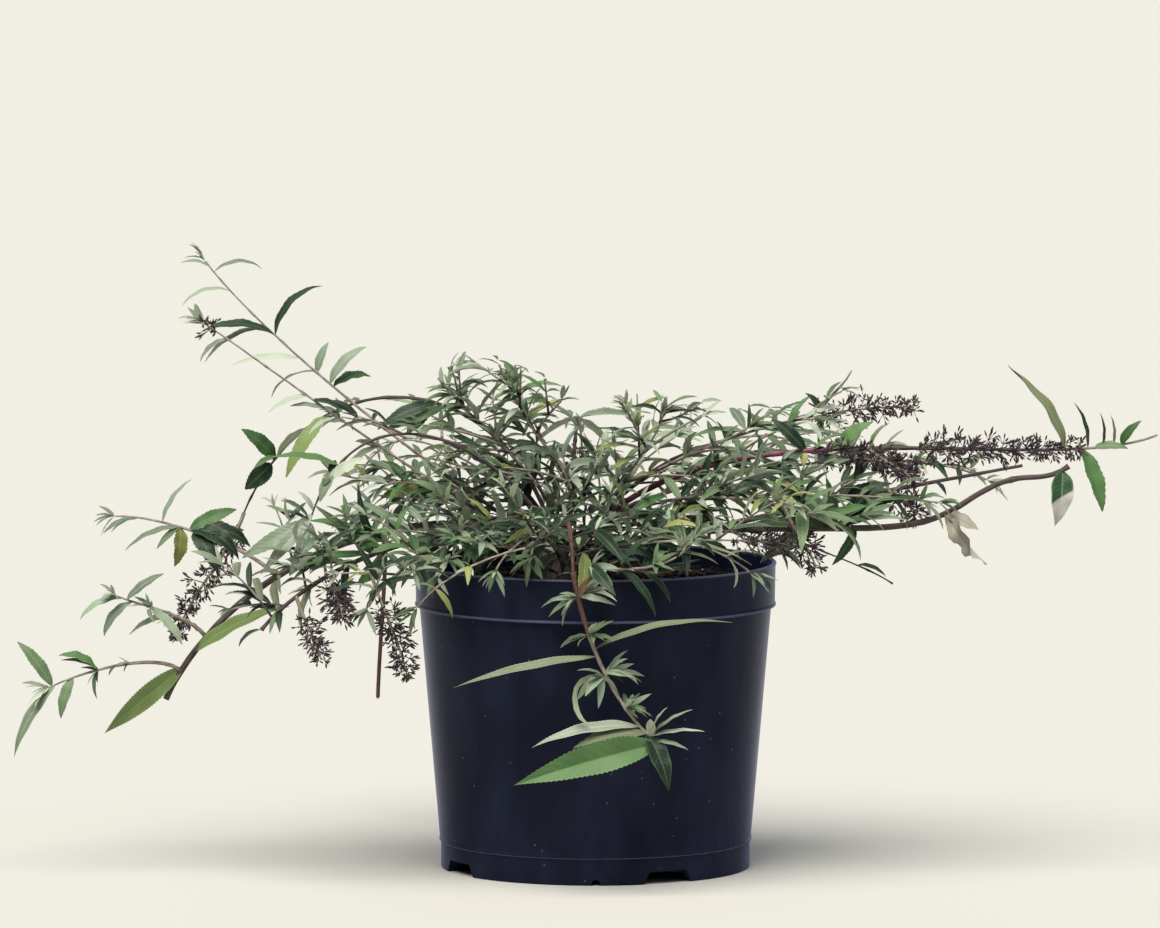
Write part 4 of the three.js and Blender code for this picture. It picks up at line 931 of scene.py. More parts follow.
def lathe(profile, sides):
    """The points and faces of a profile of radius and height turned about the axis. The profile
    starts and ends on the axis."""
    turn = round_angles(sides)
    ring = np.array(profile[1:-1], float)
    x = ring[:, :1] * np.cos(turn)
    y = ring[:, :1] * np.sin(turn)
    z = np.repeat(ring[:, 1:], sides, axis=1)
    ends = np.array([[0, 0, profile[0][1]], [0, 0, profile[-1][1]]], float)
    points = np.concatenate([ends, np.stack([x, y, z], -1).reshape(-1, 3)])
    return points, sleeve(len(ring), sides)


def rounded(corners, steps=4):
    """A profile whose corners are cut to arcs; each corner has its radius as third number."""
    made = [corners[0][:2]]
    for before, here, after in zip(corners, corners[1:], corners[2:]):
        place = np.array(here[:2], float)
        back, ahead = np.array(before[:2]) - place, np.array(after[:2]) - place
        reach = min(here[2], 0.45 * np.linalg.norm(back), 0.45 * np.linalg.norm(ahead))
        if reach <= 0:
            made.append(tuple(place))
            continue
        start, end = place + unit(back) * reach, place + unit(ahead) * reach
        for share in np.linspace(0, 1, steps + 1):
            first = start + (place - start) * share
            second = place + (end - place) * share
            made.append(tuple(first + (second - first) * share))
    made.append(corners[-1][:2])
    return made


# ---------------------------------------------------------------- curves


PATH_POINTS = 201


class Path:
    """A curve as closely spaced points, read by share of its length."""

    def __init__(self, points):
        self.points = np.asarray(points, float)
        steps = np.linalg.norm(np.diff(self.points, axis=0), axis=1)
        self.reach = np.concatenate([[0], np.cumsum(steps)])
        self.length = self.reach[-1]

    def at(self, share):
        distance = np.asarray(share, float) * self.length
        return np.stack([np.interp(distance, self.reach, self.points[:, k]) for k in range(3)],
                        axis=-1)

    def heading(self, share):
        return unit(self.at(min(share + 0.005, 1)) - self.at(max(share - 0.005, 0)))

    def part(self, begin, end):
        return Path(self.at(np.linspace(begin, end, PATH_POINTS)))


def heading_vector(degrees):
    return np.array([math.cos(math.radians(degrees)), math.sin(math.radians(degrees)), 0.0])


def bezier(*controls):
    """A Bezier curve of three or four control points."""
    t = np.linspace(0, 1, PATH_POINTS)[:, None]
    degree = len(controls) - 1
    total = sum(math.comb(degree, k) * t ** k * (1 - t) ** (degree - k) * np.asarray(c, float)
                for k, c in enumerate(controls))
    return Path(total)


def arch(start, tip, rise, hang, launch=None, handles=(HANDLE, HANDLE), sway=None):
    """handles are the shares of the way to the control points; sway moves the stem aside by a
    vector round one share of its length."""
    start, tip = np.asarray(start, float), np.asarray(tip, float)
    across = (tip - start) * (1, 1, 0)
    away = unit(across) if launch is None else heading_vector(launch)
    first = start + away * np.linalg.norm(across) * handles[0] + UP * rise
    second = tip - across * handles[1] + UP * hang
    path = bezier(start, first, second, tip)
    if sway:
        middle, width, aside = sway
        shares = path.reach / path.length
        weight = np.exp(-((shares - middle) / width) ** 2)
        path = Path(path.points + weight[:, None] * np.array(aside, float))
    return path


def turned(v, axis, angle):
    """v turned about a unit axis by an angle in radians."""
    return (v * math.cos(angle) + np.cross(axis, v) * math.sin(angle)
            + axis * np.dot(axis, v) * (1 - math.cos(angle)))


def sideways(tangent, turn, spread):
    """A direction at spread degrees to the stem, turned about it by turn degrees from level."""
    level = np.cross(tangent, UP)
    level = np.array([1.0, 0, 0]) if level @ level < 1e-4 else unit(level)
    level = turned(level, tangent, math.radians(turn))
    angle = math.radians(spread)
    return tangent * math.cos(angle) + level * math.sin(angle)


# ---------------------------------------------------------------- the growing rule


def seeded(seed):
    """The same seed draws the same numbers as in the solids."""
    state = [((seed + 1) * 2654435761) & 0xFFFFFFFF]

    def draw(low, high):
        state[0] = (state[0] * 1664525 + 1013904223) & 0xFFFFFFFF
        return low + (high - low) * state[0] / 4294967296

    return draw


def whole(number):
    return math.floor(number + 0.5)


def leaf_at(point, tangent, turn, spread, length, random):
    """A leaf hangs by its own weight, so its direction is lowered, and its face looks up."""
    toward = sideways(tangent, turn, spread)
    toward = unit(toward - UP * random(*LEAF_DROOP))
    over = UP - toward * (UP @ toward)
    over = unit(tangent if over @ over < 1e-3 else over)
    over = turned(over, toward, random(-LEAF_TWIST, LEAF_TWIST))
    return dict(root=point, toward=toward, over=over, length=length, tangent=tangent)


def leaf_pairs(path, begin, end, spacing, leaf_length, random):
    """Opposite pairs, each a quarter turn from the last, and a leaf that ends the stem."""
    leaves = []
    pairs = max(1, whole(path.length * (end - begin) / spacing))
    first_turn = random(0, 90)
    for i in range(pairs):
        share = begin + (end - begin) * (i + 0.4) / pairs
        point, tangent = path.at(share), path.heading(share)
        for half in (0, 180):
            turn = first_turn + 90 * i + half + random(-LEAF_JITTER, LEAF_JITTER)
            length = leaf_length * random(*LEAF_SIZES) * (1 - LEAF_SHRINK * share)
            leaf = leaf_at(point, tangent, turn, random(*LEAF_SPREAD), length, random)
            leaves.append(dict(leaf, share=share))
    if end > NEAR_TIP:
        turn, spread = random(0, 360), random(*LAST_SPREAD)
        leaf = leaf_at(path.at(1), path.heading(1), turn, spread, leaf_length * LAST_LEAF, random)
        leaves.append(dict(leaf, share=1))
    return leaves


def sprigs_of(path, count, leaf_length, random):
    """Side twigs leave in the axils, and carry smaller leaves."""
    sprigs = []
    for i in range(count):
        share = (SPRIGS_FROM + SPRIGS_OVER * (i + 0.5) / count
                 + random(-SPRIG_JITTER, SPRIG_JITTER))
        start = path.at(share)
        turn, spread = random(0, 360), random(*SPRIG_SPREAD)
        toward = sideways(path.heading(share), turn, spread)
        toward[2] = abs(toward[2]) * SPRIG_RISE[0] + SPRIG_RISE[1]
        tip = start + toward * SPRIG_LENGTH * random(*SPRIG_SIZES)
        twig = bezier(start, (start + tip) / 2 + UP * SPRIG_ARCH, tip)
        leaves = leaf_pairs(twig, SPRIG_LEAF_FROM, 1, SPRIG_SPACING, leaf_length * SPRIG_LEAF,
                            random)
        sprigs.append((twig, leaves))
    return sprigs


def pass_spike(path, begin, end, random):
    """Draws the numbers that a spent spike draws in the solids."""
    whorls = max(2, whole(path.length * (end - begin) / FLORET_SPACING))
    for _ in range(whorls * FLORETS):
        random(0, 1)


# ---------------------------------------------------------------- the dressed plant


def inner_radius(height):
    """The pot's inside at a height."""
    share = (height - SKIRT_HEIGHT) / (POT_HEIGHT - COLLAR_HEIGHT - SKIRT_HEIGHT)
    return FOOT_RADIUS + (RIM_RADIUS - COLLAR_STEP - FOOT_RADIUS) * share - WALL


def is_free(points):
    """Whether a twig or leaf keeps in the plant's space, and out of the pot and the compost."""
    points = np.asarray(points)
    low, high = REACH
    if (points < low).any() or (points > high).any():
        return False
    across, depth, up = points[..., 0], points[..., 1], points[..., 2]
    if (up + depth * CROWN_FALL > np.interp(across, *np.transpose(CROWN_TOP))).any():
        return False
    out = np.hypot(across, depth)
    wall = np.where(up > COLLAR_FOOT - 2, RIM_RADIUS, inner_radius(up) + WALL) + 1
    in_pot = (out < wall) & (up < SOIL_TOP)
    in_wall = (out < wall) & (out > RIM_RADIUS - 8) & (up < POT_HEIGHT + 2)
    return not (in_pot | in_wall).any()


def lit(leaf, chance, level=LEVELLING):
    """The leaf turned on its stalk, so that its face looks up and out to the light."""
    toward = np.array(leaf["toward"], float)
    toward[2] = toward[2] * level + chance.uniform(*LEAF_TILT)
    toward = unit(toward)
    out = leaf["root"] * (1, 1, 0)
    light = UP + out * OUTWARD / max(RIM_RADIUS, np.linalg.norm(out)) - BACK * FRONTWARD
    over = unit(light - toward * (light @ toward))
    over = turned(over, toward, chance.uniform(-LEAF_ROLL, LEAF_ROLL))
    return dict(leaf, toward=toward, over=over)


def pick(tones, chance):
    """One leaf colour, dealt out by the weights of a mass."""
    names, weights = zip(*TONES[tones].items())
    return names[chance.choice(len(names), p=np.array(weights) / sum(weights))]


def in_shade(root, rank):
    """Whether the leaf takes the dark tone as painted shade, low in the middle of the plant."""
    return math.hypot(root[0], root[1]) < SHADE_RADIUS and rank < np.interp(root[2], *SHADE)


class Bush:
    """The leaves, stems and spent spikes, gathered by what they are made of."""

    def __init__(self):
        self.leaves = {tone: [] for tone in LEAF_COLOURS}
        self.in_tone = {tone: set() for tone in LEAF_COLOURS}
        self.stems = Heap()
        self.twigs = Heap()
        self.capsules = []
        self.stalks = []
        self.node = None
        self.open = OPEN_SHARE

    def leaf(self, leaf, tone, chance):
        """Adds a leaf, with its own arch and fold where none is given."""
        tips = leaf["root"] + np.outer((0.35, 0.7, 1), leaf["toward"]) * leaf["length"]
        if not is_free(tips):
            return
        shape = {key: chance.uniform(*limits) for key, limits in LEAF_LIE.items()}
        shape.update(wave=LEAF_WAVE, width=leaf["length"] * chance.uniform(*SLENDER))
        rank = shape["phase"] / LEAF_LIE["phase"][1]
        # Leaves low in the middle of the plant take the dark tone: painted shade.
        if "bend" not in leaf and in_shade(leaf["root"], rank):
            tone = "deep"
        self.leaves[tone].append({**shape, **leaf})
        self.in_tone[tone].add(self.node)

    def tuft(self, point, toward, size, count, chance, tones="tuft"):
        """Small young leaves round a bud."""
        tone = pick(tones, chance)
        turn = chance.uniform(0, 360)
        for i in range(count):
            spread = chance.uniform(*TUFT_SPREAD)
            ahead = sideways(toward, turn + 180 * i + 90 * (i // 2), spread)
            root = point + toward * (TUFT_STEPS[0] + TUFT_STEPS[1] * (i // 2))
            length = size * chance.uniform(*TUFT_SIZES)
            leaf = dict(root=root, toward=ahead, length=length, bend=chance.uniform(*TUFT_BEND),
                        width=length * chance.uniform(*TUFT_SLENDER))
            self.leaf(lit(leaf, chance, TUFT_LEVELLING), tone, chance)

    def sky_shows(self, point, chance):
        """Whether to leave a leaf out, high in the crown."""
        level = point[2] + point[1] * CROWN_FALL
        return chance.random() < np.interp(level, OPENING, (0, self.open))

    def shoot(self, path, leaves, row, chance, tip_tuft=True):
        """Dresses one shoot: its leaves, the tufts in their axils, and the one at its tip."""
        tones, sizes = row["tones"], row["tuft_leaf"]
        spray = pick(tones, chance)
        for leaf in leaves:
            if chance.random() > row["own"] or self.sky_shows(leaf["root"], chance):
                continue
            tone = spray if chance.random() < SPRAY else pick(tones, chance)
            life = dict(leaf, length=leaf["length"] * LIFE)
            self.leaf(lit(life, chance), tone, chance)
            if leaf["share"] < 1 and chance.random() < row["tufts"]:
                axil = unit(leaf["toward"] + leaf["tangent"] * 0.5 + UP * row["perk"])
                self.tuft(leaf["root"], axil, chance.uniform(*sizes),
                          int(chance.integers(*row["tuft_count"])), chance, row["tuft_tones"])
        if tip_tuft:
            self.tuft(path.at(1), path.heading(1), chance.uniform(*sizes) + TIP_TUFT,
                      int(chance.integers(*TIP_TUFT_COUNT)), chance)

    def fine_twigs(self, path, row, chance, end=1):
        """Finer twigs than the solids have, from the first share of a shoot up to end."""
        for i in range(row["fine"]):
            share = end * (i + chance.uniform(0.1, 0.9)) / row["fine"]
            start = path.at(share)
            toward = sideways(path.heading(share), chance.uniform(0, 360),
                              chance.uniform(*FINE_SPREAD))
            toward[2] = abs(toward[2]) * FINE_RISE + row["lift"]
            tip = start + unit(toward) * chance.uniform(*FINE_LENGTH)
            twig = bezier(start, (start + tip) / 2 + UP * chance.uniform(*FINE_ARCH), tip)
            if not is_free(twig.at(np.linspace(0.2, 1, 5))) or self.sky_shows(tip, chance):
                continue
            tube(self.twigs, twig, FINE_FOOT, FINE_TIP, 5, 7, FINE_BARK)
            self.fine_leaves(twig, row, chance)

    def fine_leaves(self, twig, row, chance):
        """The short-jointed pairs of small leaves on a fine twig, and the tuft at its tip."""
        pairs = max(2, int(twig.length / FINE_SPACING))
        tone = pick(row["tones"], chance)
        size = chance.uniform(*row["fine_leaf"])
        turn = chance.uniform(0, 90)
        for i in range(pairs):
            place = FINE_LEAF_FROM + (1 - FINE_LEAF_FROM) * i / pairs
            for half in (0, 180):
                ahead = sideways(twig.heading(place), turn + 90 * i + half,
                                 chance.uniform(*FINE_LEAF_SPREAD))
                length = size * chance.uniform(*FINE_SIZES) * (1 - FINE_SHRINK * place)
                leaf = dict(root=twig.at(place), toward=ahead, length=length)
                self.leaf(lit(leaf, chance), tone, chance)
        self.tuft(twig.at(1), twig.heading(1), size * FINE_TUFT,
                  int(chance.integers(*FINE_TUFT_COUNT)), chance)

    def spike(self, path, begin, end, chance):
        """A spent flower spike: whorls of forked stalks, each with dry capsules. The whorls are
        small at its foot, in bunches along it, and taper to its tip."""
        whorls = max(3, int(path.length * (end - begin) / CYME_SPACING))
        for i in range(whorls):
            share = begin + (end - begin) * (i + 0.5) / whorls
            point, tangent = path.at(share), path.heading(share)
            size = (1 - 0.4 * (i / whorls) ** 1.5) * min(1, 0.5 + 0.3 * i)
            size *= 0.6 + 0.55 * abs(math.sin(0.75 * i))
            for half in (0, 180):
                if chance.random() < CYME_LOST:
                    continue
                turn = 90 * i + half + chance.uniform(-LEAF_JITTER, LEAF_JITTER)
                toward = sideways(tangent, turn, chance.uniform(*CYME_SPREAD))
                fork = point + toward * CYME_REACH * size * chance.uniform(*FORK_AT)
                self.stalks.append((point, fork, STALK_WIDTH))
                self.capsules_at(fork, toward, size, chance)

    def capsules_at(self, fork, toward, size, chance):
        """The capsules on one fork, each on its own thread of a stalk."""
        for _ in range(int(chance.integers(*CAPSULES))):
            aim = unit(toward + chance.normal(0, CAPSULE_SCATTER, 3))
            foot = fork + aim * CYME_REACH * size * chance.uniform(*FOOT_AT)
            self.stalks.append((fork, foot, THREAD_WIDTH))
            long = chance.uniform(*CAPSULE) * (0.6 + 0.4 * size)
            self.capsules.append((foot, foot + aim * long, chance.uniform(*CAPSULE_WIDTH)))


def carried(centres):
    """The way ahead at each point, and two directions across it that don't twist round it."""
    forward = unit(np.gradient(centres, axis=0))
    across = np.empty_like(forward)
    side = np.cross(forward[0], UP if abs(forward[0][2]) < 0.9 else (1, 0, 0))
    for i, ahead in enumerate(forward):
        side = unit(side - ahead * (side @ ahead))
        across[i] = side
    return forward, across, np.cross(forward, across)


RIDGE_PATTERN = (2.2, 0.09)   # how fast the ridges change round a stem, and along it


def ridged(radius, turn, along, relief, seed):
    """The radius round each row of a stem, with the bark's ridges."""
    ring = np.repeat(radius[:, None], len(turn), axis=1)
    if relief:
        around, lengthways = RIDGE_PATTERN
        for i, height in enumerate(along):
            for k, angle in enumerate(turn):
                spot = Vector((around * math.cos(angle) + seed, around * math.sin(angle),
                               height * lengthways))
                ring[i, k] *= 1 + relief * noise.noise(spot)
    return ring


def bark_slots(barks, shares, sides):
    """The material numbers of a stem's quads and of its ends, from its bark by share."""
    kinds = list(BARK_COLOURS)
    limits = np.array([limit for _, limit in barks])
    which = [kinds.index(kind) for kind, _ in barks]
    rows = [which[min(int((share > limits).sum()), len(which) - 1)] for share in shares[1:]]
    return [np.repeat(rows, sides), np.array([rows[0]] * sides + [rows[-1]] * sides)]


def tube(heap, path, foot, tip, sides, step, barks, nodes=(), relief=0.0, blunt=None, seed=0.0):
    """A tapered stem along a path, swollen at its nodes, with the bark's ridges in its surface.
    Its bark changes by share of the way; blunt is the radius of a cut end."""
    rows = max(3, int(path.length / step) + 1)
    shares = np.linspace(0, 1, rows)
    centres = path.at(shares)
    forward, across, other = carried(centres)
    end = tip if blunt is None else blunt
    radius = foot + (end - foot) * shares
    swelling, width = NODE_SWELLING
    for node in nodes:
        radius = radius + swelling * np.exp(-((shares - node) * path.length / width) ** 2)
    turn = round_angles(sides)
    ring = ridged(radius, turn, shares * path.length, relief, seed)
    points = (centres[:, None] + across[:, None] * (ring * np.cos(turn))[..., None]
              + other[:, None] * (ring * np.sin(turn))[..., None]).reshape(-1, 3)
    cap = path.at(1) + forward[-1] * (0.1 if blunt else end)
    places = np.stack([np.tile(turn * radius.mean(), rows),
                       np.repeat(shares * path.length, sides)], axis=1)
    heap.put(np.concatenate([[path.at(0), cap], points]), sleeve(rows, sides),
             bark_slots(barks, shares, sides),
             np.concatenate([[[0, 0], [0, path.length]], places]))


def stem_path(row, limbs):
    """The curve of a row of the plan, from the stool or from the limb it forks from."""
    if "on" in row:
        start = limbs[row["on"]].at(row["at"])
    else:
        out = STOOL_WAIST * (TOP_ROOT if row["tier"] == "top" else STEM_ROOT)
        middle = np.array([STOOL_X, 0.0, SOIL_TOP + TIERS[row["tier"]]])
        start = middle + heading_vector(row["launch"]) * out
    return arch(start, row["tip"], row["rise"], row["hang"], row.get("launch"), row["handles"],
                row["sway"])


def side_shoot(path, side, random):
    """A side shoot's path, and the leaves on it."""
    start, tip = path.at(side["at"]), np.array(side["tip"], float)
    drop = (tip[2] - start[2]) / 3
    made = arch(start, tip, side.get("rise", drop), side.get("hang", -drop))
    if "spike" in side:
        pass_spike(made, *side["spike"], random)
        return arch(start, side.get("hangs", tip), drop, -drop), []
    if "leaves" not in side:
        return made, []
    spacing = made.length * (1 - SIDE_LEAF_FROM) / side["leaves"]
    return made, leaf_pairs(made, SIDE_LEAF_FROM, 1, spacing, side["leaf"], random)


def long_leaf(bush, path, leaf, chance):
    """A leaf that runs from its stem to a given end, and shows a given face."""
    root = path.at(leaf["at"])
    reach = np.array(leaf["to"], float) - root
    toward = unit(reach)
    face = np.array(leaf.get("face", (0, -0.4, 1)), float)
    over = unit(face - toward * (face @ toward))
    made = dict(root=root, toward=toward, over=over, length=np.linalg.norm(reach),
                width=leaf["width"], bend=leaf.get("bend", chance.uniform(0.5, 0.9)),
                hook=leaf.get("hook", 0.25), fold=leaf.get("fold", 0.2),
                twist=leaf.get("twist", chance.uniform(-0.3, 0.3)),
                wave=leaf.get("wave", LEAF_WAVE))
    bush.leaf(made, leaf["tone"], chance)


def dress_side(bush, row, side, path, leaves, chance):
    """A side shoot: bare, leafy, or with a spent spike."""
    bare = "spike" not in side and "leaves" not in side
    tube(bush.twigs, path, SIDE_FOOT, SIDE_CUT if bare else TWIG_TIP, 6, 6,
         [("tan" if bare else "felted", 1)])
    bush.shoot(path, leaves, row, chance, "leaves" in side)
    if "spike" in side:
        bush.spike(path, *side["spike"], chance)


SPRIG_CLEARANCE = 6   # the free height over a side twig, for its leaves


def grow(bush, row, index):
    """One mass: the solids' own shoots and leaves, then the finer growth."""
    random = seeded(index)
    chance = np.random.default_rng(index)
    bush.node, bush.open = row["name"] + "_leaves", row["open"]
    path, bare = row["path"], row["bare"]
    leafy = path.part(bare, 1)
    sides = [side_shoot(path, side, random) for side in row["sides"]]
    for spike in row["spikes"]:
        pass_spike(path, *spike, random)
    sprigs = sprigs_of(leafy, row["sprigs"], row["leaf"], random)
    last = (row["leaf_to"] - bare) / (1 - bare)
    leaves = leaf_pairs(leafy, LEAF_FROM, last, row["spacing"], row["leaf"], random)
    row["nodes"] = [bare + (1 - bare) * leaf["share"] for leaf in leaves[::2]]

    for side, (side_path, side_leaves) in zip(row["sides"], sides):
        dress_side(bush, row, side, side_path, side_leaves, chance)
    for leaf in row["listed"]:
        long_leaf(bush, sides[leaf["side"]][0] if "side" in leaf else path, leaf, chance)
    for spike in () if row["no_spikes"] else row["spikes"]:
        bush.spike(path, *spike, chance)
    for sprig, sprig_leaves in () if row["no_sprigs"] else sprigs:
        if is_free(sprig.at(np.array([0.6, 1])) + UP * SPRIG_CLEARANCE):
            tube(bush.twigs, sprig, SPRIG_FOOT, TWIG_TIP, 6, 6, [("felted", 1)])
            bush.shoot(sprig, sprig_leaves, row, chance)
    bush.shoot(leafy, leaves, row, chance,
               last > NEAR_TIP and not row["blunt"] and not row["bare_tip"])
    bush.fine_twigs(leafy, row, chance, last)


def grow_bush():
    """The whole plant. A row's place in the plan is its seed."""
    bush, limbs = Bush(), {}
    for row in STEMS:
        row["path"] = stem_path(row, limbs)
        limbs[row["name"]] = row["path"].part(0, row["bare"])
    for row in SHOOTS:
        row["path"] = limbs[row["name"]] = stem_path(row, limbs)
    for row in OVERHANGS:
        row["path"] = stem_path(row, limbs)
    leafy = [row for row in STEMS if row["bare"] < 1] + SHOOTS + OVERHANGS
    for index, row in enumerate(leafy):
        grow(bush, row, index)
    for index, row in enumerate(STEMS + SHOOTS + OVERHANGS):
        nodes = [*np.arange(BARE_NODES[0], row["bare"], BARE_NODES[1]), *row["nodes"]]
        tube(bush.stems, row["path"], row["foot"] * row["slim"], STEM_TIP * row["slim"], 12, 2.5,
             row["barks"], nodes, STEM_RELIEF, row["blunt"], 7.3 * index)
    return bush


# ---------------------------------------------------------------- pieces of the plant

LEAF_SHAPES = {
    "large": LeafShape(60, (-1, -0.6, -0.08, 0, 0.08, 0.6, 1), 0.75, 1.2, 0.055, 0.35),
    "middle": LeafShape(22, (-1, -0.5, 0, 0.5, 1), 0.7, 0.95, 0.06, 0.3),
    "small": LeafShape(7, (-1, 0, 1), 0.7, 1.0, 0, 0.25),
}
LARGE_FROM, MIDDLE_FROM, LARGE_WIDTH = 50, 24, 12


def shape_of(leaf):
    if leaf["length"] >= LARGE_FROM or leaf["width"] > LARGE_WIDTH:
        return "large"
    return "middle" if leaf["length"] >= MIDDLE_FROM else "small"


def leaf_pieces(bush):
    for tone, leaves in bush.leaves.items():
        heap = Heap()
        for size, shape in LEAF_SHAPES.items():
            chosen = [leaf for leaf in leaves if shape_of(leaf) == size]
            if chosen:
                heap.put(shape.bent(chosen), shape.faces, shape.slots, shape.places,
                         shape.crisp)
        upper, under, veins = LEAF_COLOURS[tone]
        materials = [upper_leaf(tone, upper, veins), leaf_felt(tone, under)]
        piece = heap.piece(f"{tone}_leaves", materials)
        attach(piece, "root")
        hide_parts(*sorted(bush.in_tone[tone]))


def stem_pieces(bush):
    barks = [bark(kind) for kind in BARK_COLOURS]
    stems = bush.stems.piece("stems", barks)
    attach(stems, "root")
    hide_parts(*[row["name"] + "_limb" for row in STEMS])
    twigs = bush.twigs.piece("twigs", barks)
    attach(twigs, "root")


CAPSULE_SHAPE = Spindle([(0.15, 0.6), (0.5, 1.0), (0.9, 0.45)], 4)
STALK_SHAPE = Spindle([(0.02, 1.0), (0.98, 0.8)], 3)


def spike_piece(bush):
    heap = Heap()
    for shape, items in ((CAPSULE_SHAPE, bush.capsules), (STALK_SHAPE, bush.stalks)):
        heap.put(shape.laid(*zip(*items)), shape.faces)
    spikes = heap.piece("spent_spikes", [spent_flower()])
    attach(spikes, "root")


STOOL_TRIM, KNUCKLE_HEIGHT = 0.93, 0.16   # as shares of the stool's radius


def stool_piece():
    """The woody foot: flared at the compost, knuckled where stems leave, with furrowed bark."""
    profile = rounded([
        (0, SOIL_TOP - 1.2, 0), (STOOL_RADIUS + 2, SOIL_TOP - 1.2, 0),
        (STOOL_WAIST + 1.5, SOIL_TOP + 6, 5), (STOOL_WAIST - 1, SOIL_TOP + 13, 5),
        (STOOL_WAIST, SOIL_TOP + 22, 5), (STOOL_WAIST - 4, SOIL_TOP + 29, 4),
        (0, SOIL_TOP + STOOL_HEIGHT - 1, 0)], 6)
    points, faces = lathe(profile, STOOL_SIDES)
    stems = [row for row in STEMS + SHOOTS if "tier" in row]
    for point in points:
        if math.hypot(point[0], point[1]) < 0.1:
            continue
        heading = math.degrees(math.atan2(point[1], point[0]))
        lump = 0.0
        for row in stems:
            apart = abs((heading - row["launch"] + 180) % 360 - 180) / KNUCKLE[0]
            below = (point[2] - SOIL_TOP - TIERS[row["tier"]]) / KNUCKLE[1]
            lump = max(lump, math.exp(-apart ** 2 - below ** 2))
        spot = Vector((point[0] * 0.16, point[1] * 0.16, point[2] * 0.05))
        furrow = noise.noise(spot * 3) * 0.06 + noise.noise(spot) * 0.12
        point[:2] *= STOOL_TRIM + KNUCKLE_HEIGHT * lump + furrow
    points[:, 0] += STOOL_X
    turn = np.arctan2(points[:, 1], points[:, 0] - STOOL_X)
    heap = Heap()
    heap.put(points, faces, places=np.stack([turn * STOOL_WAIST, points[:, 2]], axis=1))
    stool = heap.piece("stool_wood", [bark("brown")])
    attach(stool, "root")
    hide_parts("stool")


# ---------------------------------------------------------------- pot and compost


def cut_away(piece, cutters):
    """Takes the cutters out of the piece, and removes them."""
    for cutter in cutters:
        boolean = piece.modifiers.new("cut", "BOOLEAN")
        boolean.object = cutter
        boolean.operation = "DIFFERENCE"
        boolean.solver = "EXACT"
    graph = bpy.context.evaluated_depsgraph_get()
    mesh = bpy.data.meshes.new_from_object(piece.evaluated_get(graph))
    piece.modifiers.clear()
    piece.data = mesh
    for cutter in cutters:
        bpy.data.objects.remove(cutter)


def prism(name, outline, start, end, heading):
    """A solid of one outline, drawn out along a heading from one radius to another."""
    outline = np.array(outline, float)
    count = len(outline)
    near = np.column_stack([np.full(count, start), outline])
    far = np.column_stack([np.full(count, end), outline])
    points = np.concatenate([near, far])
    angle = math.radians(heading)
    spin = np.array([[math.cos(angle), math.sin(angle), 0],
                     [-math.sin(angle), math.cos(angle), 0], [0, 0, 1]])
    mesh = bpy.data.meshes.new(name)
    sides = [(k, (k + 1) % count, count + (k + 1) % count, count + k) for k in range(count)]
    faces = [tuple(range(count - 1, -1, -1)), tuple(range(count, 2 * count)), *sides]
    mesh.from_pydata((points @ spin * MM).tolist(), [], faces)
    return in_scene(name, mesh)


def pot_profile():
    """The outside from the middle of the base up to the rim, then the inside down again."""
    inside = CHANNEL_HEIGHT + FLOOR + 1.4
    return rounded([
        (0, 0, 0),
        (PAD_RADIUS, 0, 1.5),
        (PAD_RADIUS + 6, CHANNEL_HEIGHT, 2),
        (FOOT_RADIUS - FOOT_WIDTH - 3, CHANNEL_HEIGHT, 1.5),
        (FOOT_RADIUS - FOOT_WIDTH, 0, 0.6),
        (FOOT_RADIUS - SKIRT_STEP, 0, 1.2),
        (FOOT_RADIUS - SKIRT_STEP, SKIRT_HEIGHT, 0.2),
        (FOOT_RADIUS + 0.5, SKIRT_HEIGHT + 0.6, 0.4),
        (FOOT_RADIUS + 0.5, SKIRT_HEIGHT + 1.6, 0.5),
        (FOOT_RADIUS + 0.1, SKIRT_HEIGHT + 3, 1),
        (RIM_RADIUS - COLLAR_STEP, COLLAR_FOOT, 1.2),
        (RIM_RADIUS - 0.2, COLLAR_FOOT + 0.4, 0.6),
        (RIM_RADIUS - 0.2, COLLAR_FOOT + 1.4, 0.7),
        (RIM_RADIUS - 0.9, COLLAR_FOOT + 2.6, 1),
        (RIM_RADIUS - 0.5, POT_HEIGHT - 3, 0.8),
        (RIM_RADIUS + 0.4, POT_HEIGHT - 0.2, 1.3),
        (RIM_RADIUS - 2.4, POT_HEIGHT, 0.8),
        (RIM_RADIUS - 2.8, COLLAR_FOOT + 4, 1),
        (inner_radius(COLLAR_FOOT), COLLAR_FOOT, 1),
        (inner_radius(SKIRT_HEIGHT), SKIRT_HEIGHT, 2),
        (FOOT_RADIUS - FOOT_WIDTH - 2.5, inside, 1),
        (PAD_RADIUS + 5, inside - 1.4, 1),
        (PAD_RADIUS - 1, FLOOR, 0.5),
        (0, FLOOR, 0)])


